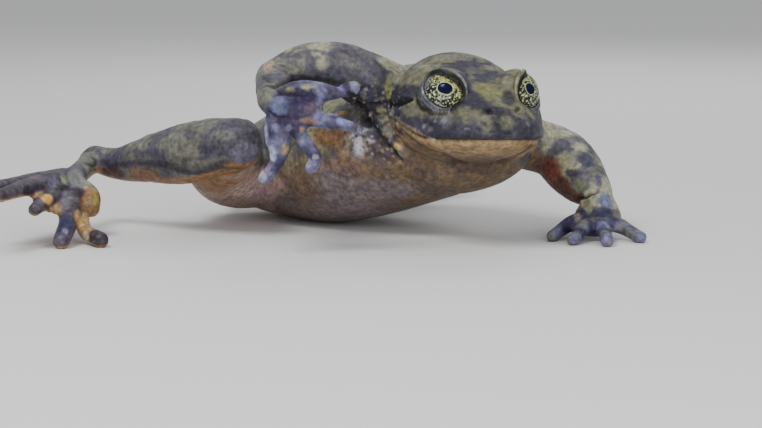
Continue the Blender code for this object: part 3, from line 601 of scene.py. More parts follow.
def fewer(thing, kept, share):
    """The thing with its faces cut to a share by collapsing short edges on its flatter
    places, and none of them where `kept` is true."""
    group = thing.vertex_groups.new(name="spare")
    group.add(np.flatnonzero(~kept).tolist(), 1.0, "REPLACE")
    thin = thing.modifiers.new("fewer", "DECIMATE")
    thin.ratio, thin.vertex_group = share, group.name
    return evaluated(thing, thing.name)


def noise(points, size, seed=0, octaves=1):
    """Smooth random values from -1 to 1: random numbers on a wrapped grid of cells of
    the given size in millimetres, blended between by smooth steps, with finer layers."""
    count, start = 32, 100.37
    total, weight = 0.0, 0.0
    for octave in range(octaves):
        grid = np.random.default_rng(seed + octave).uniform(-1, 1, (count, count, count))
        at = np.asarray(points) / (size / 2**octave) + start
        low = np.floor(at).astype(int)
        part = at - low
        part = part * part * (3 - 2 * part)
        value = 0.0
        for step in np.ndindex(2, 2, 2):
            corner = grid[tuple(((low + step) % count).T)]
            value = value + corner * np.prod(np.abs(1 - np.array(step) - part), axis=1)
        total = total + value / 2**octave
        weight += 1 / 2**octave
    return total / weight


def cells(points, size, seed):
    """For each point the distance to the nearest of scattered middles, one to each
    cell of the given size and as a share of it, and a random number of that middle."""
    count, start = 24, 60.0
    random = np.random.default_rng(seed)
    scatter = random.uniform(0.1, 0.9, (count, count, count, 3))
    numbers = random.uniform(0, 1, (count, count, count))
    at = np.asarray(points) / size + start
    low = np.floor(at).astype(int)
    best, own = np.full(len(at), 9.0), np.zeros(len(at))
    for step in np.ndindex(3, 3, 3):
        cell = low + np.array(step) - 1
        key = tuple((cell % count).T)
        far = np.linalg.norm(at - cell - scatter[key], axis=1)
        closer = far < best
        best[closer], own[closer] = far[closer], numbers[key][closer]
    return best, own


def nearest_on(points, stations):
    """For each point the share of the way along the path of its nearest place there,
    the distance to it, and the path's radius there."""
    path = through(stations, PATH_STEPS)
    best, share, radius = np.full(len(points), 1e9), np.zeros(len(points)), np.ones(len(points))
    for step in range(PATH_STEPS):
        far = np.linalg.norm(points - path[step, :3], axis=1)
        closer = far < best
        best[closer], share[closer] = far[closer], step / (PATH_STEPS - 1)
        radius[closer] = path[step, 3]
    return share, best, radius


def about_head(points):
    """For each point: its place in the head's frame, its bearing from straight ahead,
    how far out it is (1 on the outline of the lips) and its height above their line."""
    local = in_head(points)
    bearing = np.arctan2(local[:, 0], local[:, 1])
    outside = np.hypot(local[:, 0], local[:, 1]) / plan_reach(bearing)
    return local, bearing, outside, local[:, 2] - mouth_height(bearing)


def carve_head(points):
    """Mouth line, nostrils, hollows before the eyes and the opening of the lids,
    pressed into the skin of the head."""
    local, bearing, outside, above_lips = about_head(points)
    on_lips = smoothstep(0.86, 0.95, outside) * smoothstep(1.12, 1.05, outside)
    on_lips = on_lips * smoothstep(math.radians(118), math.radians(96), np.abs(bearing))
    groove = MOUTH_GROOVE * bell(above_lips, MOUTH_LOW, 0.34) * on_lips
    inward = -np.stack([np.sin(bearing), np.cos(bearing), 0 * bearing], axis=1)
    local = local + inward * groove[:, None]
    for side in (1, -1):
        hollow = bell(np.linalg.norm(local - on_side(LORE_AT, side), axis=1), 0, LORE_REACH)
        local -= LORE_DEPTH * hollow[:, None] * unit(on_side(LORE_INTO, side))
        away = off_nostril(local, side)
        pit = NOSTRIL_DEPTH * bell(away, 0, 0.75 * NOSTRIL_RADIUS) - NOSTRIL_RIM * bell(away, 1.1, 0.5)
        local -= pit[:, None] * unit(on_side(NOSTRIL_INTO, side))
    points = in_world(local)
    for side in (1, -1):
        far, gape, round_eye = about_eye(points, side)
        near = smoothstep(LID_RADIUS + 3.6, LID_RADIUS + 2.0, far)
        opening = smoothstep(1.14, 1.0, gape) * near
        under_lid = 0.28 * lower_rear(round_eye) * smoothstep(1.88, 1.62, gape) * near
        wanted = far * (1 - opening) + (EYE_RADIUS - SOCKET_DEEP) * opening - under_lid
        centre = eye_centre(side)
        points = centre + (points - centre) * (wanted / np.maximum(far, 1e-6))[:, None]
    return points


# The photo's camera, in the pose's frame
LOOK_AT = np.array([0.0, 0.0, 4.53])
CAMERA_FAR = 377.6
CAMERA_LIFT = 7.0
FIELD_WIDTH = 105.8
SENSOR_WIDTH = 36.0
PHOTO_WIDTH, PHOTO_HEIGHT = 762, 428


def camera_place():
    """The camera's place, and its rightward, upward and backward directions."""
    lift = math.radians(CAMERA_LIFT)
    back = np.array([0, -math.cos(lift), math.sin(lift)])
    right = np.array([1.0, 0, 0])
    return LOOK_AT + back * CAMERA_FAR, right, np.cross(back, right), back


class Seen:
    """Finds the places on the bare skin that the photo's pixels fall on."""

    def __init__(self, skin):
        """Keeps the skin's surface as it is now, for rays to meet."""
        self.tree = BVHTree.FromPolygons([Vector(p) for p in points_of(skin.data)],
                                         [tuple(f.vertices) for f in skin.data.polygons])

    def at(self, pixel):
        """The skin's place under a photo pixel, or None beside the body."""
        place, right, up, back = camera_place()
        scale = FIELD_WIDTH / PHOTO_WIDTH / CAMERA_FAR
        ray = unit(-back + right * (pixel[0] - PHOTO_WIDTH / 2) * scale
                   - up * (pixel[1] - PHOTO_HEIGHT / 2) * scale)
        hit = self.tree.ray_cast(Vector(place), Vector(ray))[0]
        return None if hit is None else np.array(hit[:])

    def off_line(self, points, pixels):
        """Each point's distance to the line over the skin through the pixels, which
        grows towards the line's ends so that it tapers there."""
        places = [place for place in map(self.at, pixels) if place is not None]
        best, along = np.full(len(points), 1e9), np.zeros(len(points))
        for number, (start, end) in enumerate(zip(places, places[1:])):
            span = end - start
            share = np.clip((points - start) @ span / max(span @ span, 1e-9), 0, 1)
            far = np.linalg.norm(points - start - share[:, None] * span, axis=1)
            closer = far < best
            best[closer], along[closer] = far[closer], (number + share[closer]) / max(len(places) - 1, 1)
        return best / (0.35 + 0.65 * np.sin(np.pi * np.clip(along, 0.02, 0.98))**0.6)

    def off_spot(self, points, spot):
        """Each point's distance to a spot's middle, as a share of the spot's reach.
        A spot is its pixel and its half width and half height in pixels."""
        across, down, wide, high = spot
        place = self.at((across, down))
        if place is None:
            return np.full(len(points), 9.0)
        away = (points - place) * (PHOTO_WIDTH / FIELD_WIDTH)
        deep = wide + high
        return np.sqrt((away[:, 0] / wide)**2 + (away[:, 2] / high)**2 + (away[:, 1] / deep)**2)


def linear(*rgb):
    """Screen values of 0 to 255 as the colour a shader takes."""
    value = np.array(rgb) / 255
    return np.where(value < 0.04045, value / 12.92, ((value + 0.055) / 1.055)**2.4)


PURPLE_GREY = linear(64, 61, 74)
DARK = linear(40, 36, 50)
LIP_PURPLE = linear(48, 45, 60)
LID_GREY = linear(92, 95, 100)
OLIVE = linear(112, 110, 86)
PALE_OLIVE = linear(136, 134, 112)
GREY_OLIVE = linear(94, 93, 85)
JAW_ORANGE = linear(126, 102, 70)
JAW_TAN = linear(142, 118, 84)
THROAT_BROWN = linear(100, 82, 62)
THROAT_DARK = linear(88, 74, 64)
BELLY_BROWN = linear(108, 97, 102)
ORANGE = linear(126, 90, 52)
RED_BROWN = linear(84, 50, 38)
PINK_BROWN = linear(148, 124, 114)
SPECK = linear(120, 116, 128)
LAVENDER = linear(98, 98, 128)
INDIGO = linear(42, 36, 58)
WHITE = linear(168, 162, 172)
WEB_ORANGE = linear(146, 118, 80)
YELLOW_GREEN = linear(132, 130, 82)
BLACK = linear(12, 10, 15)
IRIS_PALE = linear(168, 176, 150)
IRIS_GOLD = linear(150, 152, 76)
IRIS_BRIGHT = linear(196, 202, 150)
PUPIL = linear(3, 6, 38)

# Limb, colour of its skin, bars along it, where they start, colour of its underside: the real underside on
# the legs, painted shade under the arms, dark under the right arm and dark red-brown under the left
LIMB_COLOURS = (
    ("thigh_right", GREY_OLIVE, 2.4, 0.1, PINK_BROWN),
    ("thigh_left", GREY_OLIVE, 2.4, 0.1, PINK_BROWN),
    ("shank_right", GREY_OLIVE, 2.6, 0.15, ORANGE),
    ("shank_left", GREY_OLIVE, 2.6, 0.15, ORANGE),
    ("tarsus_right", GREY_OLIVE, 1.6, 0.3, ORANGE),
    ("tarsus_left", GREY_OLIVE, 1.6, 0.3, ORANGE),
    ("upper_arm_right", PALE_OLIVE, 1.2, 0.6, DARK),
    ("upper_arm_left", PALE_OLIVE, 1.6, 0.3, RED_BROWN),
    ("forearm_right", GREY_OLIVE, 1.4, 0.5, DARK),
    ("forearm_left", PALE_OLIVE, 2.6, 0.35, RED_BROWN),
)

# Each eye: where its pupil glances (degrees forward and up), the pupil's half length and
# height in degrees, how strong its bright ring and the gold are, how far the shade of the
# upper lid is moved up, how much the lower lid covers, and the colour of its rim
EYES = {
    1: {"glance": (0, 1), "pupil": (19.5, 14.5), "ring": 0.7, "gold": 1, "shade": 0,
        "cover": 0.04, "rim": GREY_OLIVE},
    -1: {"glance": (10, 11), "pupil": (13, 15), "ring": 0.3, "gold": 0.45, "shade": 12,
         "cover": 0.13, "rim": OLIVE},
}

# Spots on the skin by photo pixel: across, down, half width, half height; then colour and strength
SPOTS = {
    "crown_left": ((425, 66, 16, 5), PALE_OLIVE, 0.55),
    "crown_ridge": ((462, 57, 26, 3.5), PALE_OLIVE, 0.5),
    "crown_far": ((492, 68, 13, 3), PALE_OLIVE, 0.6),
    "brow_right": ((408, 77, 14, 8), OLIVE, 0.75),
    "brow_left": ((515, 72, 8, 5), OLIVE, 0.85),
    "crown_middle": ((475, 71, 14, 3), GREY_OLIVE, 0.7),
    "snout_top": ((505, 79, 8, 4), OLIVE, 0.7),
    "snout_upper": ((485, 88, 14, 6), YELLOW_GREEN, 0.8),
    "snout_middle": ((492, 95, 12, 7), YELLOW_GREEN, 0.8),
    "snout_lower": ((500, 102, 8, 5), OLIVE, 0.85),
    "lore_right_high": ((467, 97, 9, 7), LIP_PURPLE, 0.9),
    "lore_right": ((478, 104, 9, 6), LIP_PURPLE, 0.9),
    "snout_dark": ((488, 111, 9, 5), DARK, 0.9),
    "snout_dark_middle": ((503, 112, 10, 5), DARK, 0.85),
    "lore_left": ((509, 99, 7, 12), LIP_PURPLE, 0.85),
    "lip_by_eye": ((467, 114, 6, 8), OLIVE, 0.75),
    "lip_under_eye": ((452, 120, 11, 4), GREY_OLIVE, 0.6),
    "cheek_pale": ((411, 108, 12, 8), OLIVE, 0.8),
    "lip_middle": ((487, 124, 7, 8), OLIVE, 0.65),
    "lip_middle_dark": ((484, 123, 2.5, 2.5), LIP_PURPLE, 0.7),
    "lip_front": ((508, 123, 8, 7), OLIVE, 0.75),
    "lip_front_dark": ((507, 124, 3, 2), GREY_OLIVE, 0.8),
    "lip_left": ((530, 113, 5, 4), YELLOW_GREEN, 0.7),
    # painted shade in the nostrils
    "nostril_right_shade": ((487, 110, 4, 2.5), BLACK, 0.7),
    "nostril_left_shade": ((517, 109, 3, 3), BLACK, 0.8),
    "lip_speck_one": ((424, 125, 2.6, 1.8), SPECK, 0.7),
    "lip_speck_two": ((431, 128, 2.6, 1.8), SPECK, 0.7),
    "lip_speck_three": ((445, 121, 2.8, 1.8), SPECK, 0.7),
    "lip_speck_four": ((467, 129, 3.4, 1.8), SPECK, 0.7),
    "lip_speck_five": ((457, 121, 2.6, 1.8), SPECK, 0.7),
    "lip_speck_six": ((528, 124, 3.2, 2.4), SPECK, 0.7),
    "lip_speck_seven": ((489, 134, 6, 2), GREY_OLIVE, 0.7),
    "lip_speck_eight": ((436, 120, 2, 1.6), SPECK, 0.7),
    "nape_left": ((398, 78, 12, 6), PALE_OLIVE, 0.7),
    "neck_dark_high": ((361, 117, 17, 21), linear(56, 50, 58), 0.85),
    "neck_dark_low": ((384, 142, 15, 20), linear(60, 52, 56), 0.85),
    "shoulder_dark": ((372, 93, 13, 10), LIP_PURPLE, 0.9),
    "shoulder_streak": ((364, 94, 2.5, 5), GREY_OLIVE, 0.7),
    "wart_cream": ((381, 110, 5, 4), linear(176, 172, 124), 0.8),
    "wart_white_one": ((371, 115, 2.5, 4), WHITE, 0.8),
    "wart_white_two": ((371, 129, 3, 2.4), WHITE, 0.8),
    "wart_white_three": ((363, 132, 4, 3), WHITE, 0.8),
    "wart_white_four": ((359, 128, 2, 2), WHITE, 0.7),
    "wart_white_five": ((370, 142, 3, 2.4), WHITE, 0.6),
    "wart_grey": ((392, 113, 4, 4), linear(138, 136, 136), 0.7),
    "cheek_plum": ((376, 124, 7, 5), LIP_PURPLE, 0.8),
    "cheek_olive": ((389, 131, 6, 7), GREY_OLIVE, 0.75),
    "cheek_gold": ((399, 146, 4, 4), linear(178, 158, 92), 0.7),
    "fold_olive": ((402, 155, 4, 6), GREY_OLIVE, 0.7),
    "plum_low": ((373, 134, 6, 5), LIP_PURPLE, 0.8),
    "plum_lower": ((392, 154, 5, 5), linear(74, 52, 56), 0.8),
    "shoulder_olive": ((344, 100, 5, 7), OLIVE, 0.75),
    "shoulder_olive_low": ((354, 107, 4, 4), OLIVE, 0.8),
    "shoulder_gold": ((342, 113, 4, 2), linear(160, 118, 40), 0.8),
    "shoulder_grey": ((354, 130, 8, 9), linear(128, 124, 138), 0.75),
    "shoulder_white": ((359, 147, 7, 9), WHITE, 0.9),
    "shoulder_white_top": ((353, 137, 3, 4), WHITE, 0.7),
    "armpit_orange": ((330, 134, 21, 13), linear(122, 88, 58), 0.9),
    "armpit_gold": ((341, 152, 7, 14), linear(128, 104, 78), 0.6),
    "flank_orange": ((345, 166, 26, 8), ORANGE, 0.3),
    "calf_orange": ((205, 183, 50, 11), linear(126, 94, 62), 0.9),
    "calf_brown": ((145, 175, 22, 8), linear(106, 76, 54), 0.85),
    "thigh_pink": ((256, 184, 34, 14), linear(166, 142, 134), 0.9),
    "thumb_pad": ((279, 106, 9.5, 10), linear(82, 86, 116), 1.0),
    "palm_deep": ((304, 98, 15, 8), linear(46, 34, 66), 0.9),
    "palm_low": ((297, 112, 10, 8), linear(48, 42, 62), 0.9),
    "palm_brown": ((311, 109, 7, 6), linear(76, 62, 74), 0.7),
    "palm_cream": ((311, 110, 1.6, 1.6), linear(160, 144, 132), 0.8),
    "crotch_orange": ((308, 121, 8, 3.5), linear(122, 96, 76), 0.8),
    "crotch_orange_low": ((303, 130, 2.5, 3), linear(124, 102, 78), 0.7),
    "finger_gold": ((286, 150, 4, 6), linear(138, 120, 84), 0.8),
    "hand_rim_left": ((280, 86, 18, 4), GREY_OLIVE, 0.8),
    "hand_rim_right": ((312, 84, 20, 5), GREY_OLIVE, 0.8),
    "finger_mark_one": ((290, 92, 4, 1.4), YELLOW_GREEN, 0.8),
    "finger_mark_two": ((309, 90, 6, 1.4), YELLOW_GREEN, 0.8),
    "finger_top_spot": ((324, 93, 4, 3.5), LAVENDER, 0.9),
    "finger_top_lilac": ((341, 88, 4, 3), linear(122, 98, 168), 0.8),
    "finger_top_end": ((357, 83, 3, 3.5), SPECK, 0.8),
    "finger_long_pad": ((320, 118, 5, 4), LAVENDER, 0.8),
    "finger_long_blue": ((341, 120, 5, 3.5), linear(106, 116, 158), 0.9),
    "pad_one": ((275, 127, 4, 5), LAVENDER, 0.9),
    "pad_two": ((288, 128, 3.4, 3.6), LAVENDER, 0.7),
    "pad_three": ((273, 153, 4, 6), linear(150, 154, 188), 0.85),
    "hand_edge": ((266, 136, 2.4, 14), linear(146, 150, 188), 0.8),
    "finger_low_grey": ((283, 136, 6, 9), linear(84, 80, 96), 0.7),
    "finger_tip_low": ((262, 177, 5, 5), linear(150, 148, 164), 0.8),
    "finger_tip_pink": ((268, 168, 2.5, 4), linear(126, 108, 128), 0.6),
    "finger_bent_pad": ((300, 144, 3.4, 4), SPECK, 0.6),
    "finger_bent_end": ((316, 157, 3, 3), WHITE, 0.5),
    "finger_bent_tip": ((308, 163, 4, 4), SPECK, 0.7),
    "arm_dark_middle": ((311, 66, 7, 11), PURPLE_GREY, 0.9),
    "arm_dark_front": ((336, 73, 15, 7), PURPLE_GREY, 0.9),
    "arm_dark_back": ((283, 72, 7, 6), PURPLE_GREY, 0.6),
    "arm_light_gap": ((322, 62, 4, 8), PALE_OLIVE, 0.7),
    "elbow_blush": ((268, 66, 6, 12), linear(158, 132, 112), 0.7),
    # painted shadow on the neck between the jaw and the left arm
    "neck_left_shadow": ((527, 159, 9, 9), linear(56, 57, 66), 0.8),
    "forearm_left_grey": ((588, 183, 7, 7), PURPLE_GREY, 0.4),
    "arm_shade": ((293, 79, 20, 4), linear(36, 33, 42), 0.85),
    "flank_pink": ((262, 193, 20, 9), linear(172, 146, 156), 0.6),
    "belly_pink": ((384, 190, 34, 12), linear(108, 98, 106), 0.5),
    "thigh_lilac": ((245, 152, 14, 9), linear(140, 136, 154), 0.55),
    "inner_toe_pale": ((85, 236, 6, 5), linear(182, 162, 138), 0.6),
    "shank_purple": ((244, 155, 16, 11), linear(86, 80, 98), 0.8),
    "shank_dark_one": ((190, 134, 8, 6), PURPLE_GREY, 0.7),
    "shank_dark_two": ((206, 150, 10, 5), DARK, 0.6),
    "shank_dark_three": ((140, 152, 9, 4), PURPLE_GREY, 0.7),
    "shank_light": ((165, 146, 12, 7), GREY_OLIVE, 0.7),
    "shank_light_top": ((222, 136, 13, 5), GREY_OLIVE, 0.7),
    # the calf's red-brown underside by the heel, darkened as painted shade
    "calf_red_in_shade": ((113, 172, 15, 6), linear(66, 34, 26), 0.9),
    "sole_brown": ((90, 203, 12, 13), linear(104, 80, 50), 0.85),
    "tarsus_gold": ((95, 196, 3, 10), linear(128, 114, 60), 0.8),
    "sole_dark": ((101, 206, 4, 12), linear(70, 46, 34), 0.8),
    "foot_grey": ((78, 178, 10, 12), linear(104, 106, 102), 0.8),
    "foot_olive": ((64, 180, 4, 6), linear(118, 122, 88), 0.7),
    "foot_plum": ((53, 181, 7, 6), linear(92, 86, 110), 0.7),
    "toe_red": ((33, 177, 4, 2.5), linear(130, 88, 88), 0.6),
    "toe_ink": ((30, 190, 12, 5), linear(34, 32, 52), 0.8),
    "web_gold": ((48, 199, 9, 6), linear(190, 150, 74), 0.9),
    "web_tan": ((46, 213, 7, 4), linear(186, 150, 110), 0.8),
    "web_dark": ((46, 206, 8, 2.4), linear(70, 44, 42), 0.85),
    "toe_grey": ((66, 200, 7, 10), linear(92, 90, 98), 0.8),
    "toe_blue": ((64, 224, 10, 11), linear(34, 38, 66), 0.9),
    "toe_lilac": ((65, 231, 2.6, 2.2), linear(120, 114, 138), 0.7),
    "toe_tan": ((79, 219, 5, 9), linear(176, 136, 86), 0.8),
    "arm_left_top": ((556, 130, 14, 8), PALE_OLIVE, 0.8),
    "arm_left_purple": ((562, 146, 12, 5), PURPLE_GREY, 0.9),
    "arm_left_olive": ((565, 160, 10, 8), OLIVE, 0.85),
    "arm_left_yellow": ((580, 147, 9, 4), PALE_OLIVE, 0.85),
    "arm_left_dark": ((573, 173, 10, 5), DARK, 0.9),
    "arm_left_dark_high": ((586, 160, 8, 9), linear(46, 46, 66), 0.9),
    "arm_left_grey": ((594, 171, 7, 5), GREY_OLIVE, 0.8),
    "arm_left_violet": ((599, 182, 5, 7), linear(62, 54, 86), 0.85),
    "arm_left_moss": ((581, 187, 7, 8), linear(96, 100, 78), 0.8),
    # the left arm's red-brown underside, darkened as painted shade
    "arm_left_red": ((551, 172, 11, 15), linear(108, 62, 50), 0.95),
    "arm_left_red_low": ((563, 189, 9, 13), linear(84, 48, 40), 0.95),
    "hand_left_blue": ((606, 201, 8, 9), linear(84, 90, 122), 0.9),
    "hand_left_ink": ((600, 212, 12, 5), linear(34, 32, 58), 0.85),
    "hand_left_olive": ((589, 207, 5, 7), OLIVE, 0.8),
    "finger_left_ink": ((568, 220, 6, 14), linear(32, 28, 56), 0.85),
    "finger_left_tan": ((577, 217, 3, 8), linear(116, 108, 88), 0.8),
}

# Lines over the skin by photo pixel; then half width in millimetres, colour and strength
LINES = {
    "bar_between_eyes": (((442, 64), (452, 65), (462, 66), (474, 65)), 0.55, PURPLE_GREY, 0.9),
    "bar_before_eyes": (((470, 79), (482, 80), (496, 77), (509, 75)), 0.5, PURPLE_GREY, 0.85),
    "stripe_behind_eye": (((420, 92), (410, 92), (400, 93), (392, 94)), 1.25, LIP_PURPLE, 0.95),
    "stripe_under": (((414, 99), (404, 101), (396, 103), (390, 105)), 0.5, BLACK, 0.8),
    "yellow_band": (((388, 79), (388, 88), (388, 98)), 0.5, YELLOW_GREEN, 0.95),
    "pale_lip_corner": (((388, 113), (396, 119), (405, 125), (415, 131), (426, 136), (434, 140)), 0.42,
                        linear(178, 156, 128), 0.8),
    "red_cheek_line": (((391, 124), (397, 130), (404, 132)), 0.35, linear(78, 36, 26), 0.8),
    "jaw_shadow": (((400, 130), (411, 141), (424, 149), (443, 156), (463, 166), (482, 169), (497, 166),
                    (513, 158), (531, 146)), 1.1, linear(70, 54, 42), 0.7),
    "arm_line_one": (((288, 58), (300, 53), (315, 51), (332, 53), (346, 50)), 0.4, PURPLE_GREY, 0.8),
    "arm_line_two": (((280, 66), (292, 60), (304, 56)), 0.35, PURPLE_GREY, 0.6),
    "arm_line_three": (((346, 62), (358, 66), (368, 74)), 0.4, GREY_OLIVE, 0.6),
    # painted shadow: black under the right upper arm, above the hand
    "arm_under_shadow": (((262, 88), (276, 87), (292, 85), (308, 81), (330, 82), (348, 86),
                   (362, 88)), 0.8, BLACK, 0.8),
    # painted shade: black in the top of the crease before the right shoulder
    "shoulder_crease_shade": (((350, 93), (356, 99), (362, 106), (367, 112)), 1.0, BLACK, 0.95),
    "lid_line": (((416, 92), (418, 100), (424, 109), (432, 113), (445, 114), (456, 109)), 0.34, BLACK, 0.95),
    "hand_rim_line": (((272, 97), (282, 94), (296, 95), (310, 95)), 0.3, BLACK, 0.6),
    "finger_edge_line": (((318, 113), (328, 114), (338, 116), (346, 119)), 0.25, WHITE, 0.5),
    # painted shade along the right shank's underside: a narrow dark band, and a broader one above it
    "shank_under_shade": (((95, 165), (110, 166), (130, 163), (150, 163), (165, 165), (180, 170), (190, 173),
                    (205, 170), (222, 167), (240, 168), (258, 163)), 0.5, DARK, 0.75),
    "shank_shade": (((95, 161), (115, 161), (140, 158), (165, 160), (182, 166), (200, 165), (225, 163)), 1.5,
                    DARK, 0.45),
    "shank_ridge": (((186, 163), (200, 164), (215, 161), (230, 157)), 0.4, GREY_OLIVE, 0.8),
    "foot_shadow": (((57, 190), (64, 189), (70, 186)), 0.4, BLACK, 0.8),
}

# Creases over the skin by photo pixel; half width and depth in millimetres; how dark the painted shade in the
# crease is
CREASES = {
    "behind_mouth": (((412, 100), (403, 103), (392, 106), (381, 104), (371, 103)), 0.45, 0.45, 0.9),
    "before_shoulder": (((352, 94), (358, 104), (366, 115), (376, 131), (387, 146),
                         (401, 160)), 0.6, 0.65, 1.0),
    "neck_fold": (((389, 121), (399, 130), (409, 143)), 0.4, 0.22, 0.3),
    "jaw_rim": (((400, 128), (411, 139), (424, 147), (443, 154), (463, 164), (482, 167), (497, 164),
                 (513, 156), (531, 144)), 0.75, 0.3, 0.15),
    "wrist_left": (((577, 199), (586, 197), (594, 193), (601, 190)), 0.4, 0.35, 0.95),
    "under_thumb_pad": (((269, 110), (273, 115), (280, 117), (287, 115)), 0.28, 0.3, 0.95),
    "shoulder_fold": (((352, 78), (362, 84), (372, 90)), 0.4, 0.2, 0.3),
    "flank_fold_one": (((309, 129), (318, 140), (329, 149), (339, 160), (346, 174)), 0.5, 0.22, 0.3),
    "flank_fold_two": (((351, 130), (352, 146), (348, 160), (352, 174)), 0.5, 0.18, 0.25),
    "flank_fold_three": (((330, 172), (350, 178), (372, 176), (392, 170)), 0.6, 0.14, 0.15),
    "elbow_fold": (((262, 76), (270, 82), (280, 84)), 0.4, 0.2, 0.5),
    "ankle_fold": (((84, 163), (92, 166), (101, 166)), 0.35, 0.25, 0.8),
}

# Raised pads and warts by photo pixel, and how high they stand in millimetres
PADS = {
    "hand_back": ((306, 89, 26, 6), 0.8),
    "thumb": ((279, 106, 9, 9.5), 0.45),
    "hand_edge": ((268, 136, 4, 14), 0.15),
    "pad_one": ((275, 127, 5, 6), 0.2),
    "pad_two": ((288, 128, 4, 4.5), 0.18),
    "pad_three": ((273, 153, 5, 7), 0.18),
    "finger_top": ((324, 93, 5, 4), 0.15),
    "white": ((359, 147, 7, 9), 0.3),
    "white_one": ((371, 115, 3, 4), 0.25),
    "white_two": ((371, 129, 3, 2.5), 0.25),
    "white_three": ((363, 132, 4, 3), 0.25),
    "cream": ((381, 110, 5, 4), 0.25),
    "grey": ((392, 113, 4, 4), 0.2),
    "gold": ((399, 146, 4, 4), 0.18),
    "elbow": ((268, 66, 6, 10), 0.15),
    "brow": ((507, 72, 11, 6), 0.45),
    "knee": ((236, 150, 18, 14), 0.25),
}
ROUGH_SKIN = (376, 122, 44, 38)     # the warty neck and shoulder, as a spot


def mixed(colours, colour, weight):
    """Blend a colour over the skin by a weight a point."""
    return colours + (np.asarray(colour) - colours) * np.clip(weight, 0, 1)[:, None]


def toned(base, other, weight):
    """One colour a point, from the base to the other by a weight a point."""
    return mixed(np.tile(base, (len(weight), 1)), other, weight)


def ground(points, base, other, size, seed, share=0.5):
    """Two colours broken up into patches of about the given size."""
    return toned(base, other, smoothstep(-0.09, 0.09, noise(points, size, seed, 4) + share - 0.5))


def trunk_and_limbs(points, normals):
    """Olive patches on purple grey above, orange brown below, and bars on the limbs, with painted shade under
    the arms.
    """
    rough = noise(points, 1.5, 31, 2)
    colours = ground(points, PURPLE_GREY, OLIVE, 4.5, 11, 0.56)
    share, far, radius = nearest_on(points, SPINE)
    on_spine = np.round(share * (PATH_STEPS - 1)).astype(int)
    above_axis = points[:, 2] - through(SPINE, PATH_STEPS)[on_spine, 2]
    belly = toned(BELLY_BROWN, THROAT_BROWN, smoothstep(-0.7, 0.8, noise(points, 9.0, 8, 2)))
    colours = mixed(colours, belly, smoothstep(1.5, -3.0, above_axis + 1.5 * rough))
    under = smoothstep(0.0, -0.6, normals[:, 2] + 0.2 * rough)
    waver = 1.6 * noise(points, 3.5, 5, 2)
    for name, skin, times, start, underside_and_shade in LIMB_COLOURS:
        share, far, radius = nearest_on(points, LIMBS[name])
        own = ground(points, GREY_OLIVE, skin, 3.0, 17, 0.62)
        bars = smoothstep(0.0, 0.55, np.sin(2 * np.pi * (share * times + start) + waver))
        own = mixed(own, PURPLE_GREY, 0.85 * bars)
        # the limb's underside: its real colour on the legs, painted shade on the arms
        own = mixed(own, underside_and_shade, smoothstep(-0.55, -0.85, normals[:, 2]) if "shank" in name else under)
        colours = mixed(colours, own, smoothstep(1.55, 1.2, far / radius))
    return colours


def head_colours(points, normals, colours):
    """Dark upper lip, orange jaw, brown throat, and black painted as shade in the mouth groove, the nostrils
    and the lid openings.
    """
    local, bearing, outside, above_lips = about_head(points)
    on_head = smoothstep(1.2, 1.1, outside) * (local[:, 1] > -4.5)
    rough = noise(points, 1.2, 61, 2)
    crown = ground(points, PURPLE_GREY, OLIVE, 3.2, 23, 0.55)
    colours = mixed(colours, crown, on_head * smoothstep(0, 0.3, above_lips))
    lip = on_head * smoothstep(-0.3, -0.1, above_lips) * smoothstep(3.6, 2.2, above_lips + 0.8 * rough)
    colours = mixed(colours, ground(points, LIP_PURPLE, PURPLE_GREY, 1.6, 71), lip)
    jaw = on_head * smoothstep(-0.1, -0.35, above_lips) * smoothstep(-6.5, -5.0, above_lips)
    colours = mixed(colours, ground(points, JAW_ORANGE, JAW_TAN, 1.8, 41), jaw)
    throat = smoothstep(-2.4, -4.2, above_lips + 0.6 * rough) * smoothstep(2.2, 1.2, outside)
    throat = throat * smoothstep(-14, -4, local[:, 1] + 2 * rough) * smoothstep(0.5, -0.1, normals[:, 2])
    colours = mixed(colours, ground(points, THROAT_BROWN, THROAT_DARK, 2.0, 43), throat)
    on_lips = on_head * smoothstep(0.84, 0.93, outside)
    on_lips = on_lips * smoothstep(math.radians(116), math.radians(100), np.abs(bearing))
    # painted shade: black in the groove of the mouth
    colours = mixed(colours, BLACK, 0.85 * on_lips * bell(above_lips, MOUTH_LOW, 0.17))
    # painted shade: black in each nostril, and on the skin inside each lid opening round the eyeball
    for side in (1, -1):
        colours = mixed(colours, BLACK, 0.9 * smoothstep(0.6, 0.25, off_nostril(local, side)))
        far, gape, round_eye = about_eye(points, side)
        close = smoothstep(SKIN_LID + 1.0, SKIN_LID + 0.4, far)
        colours = mixed(colours, BLACK, close * smoothstep(1.06, 1.0, gape))
    return colours


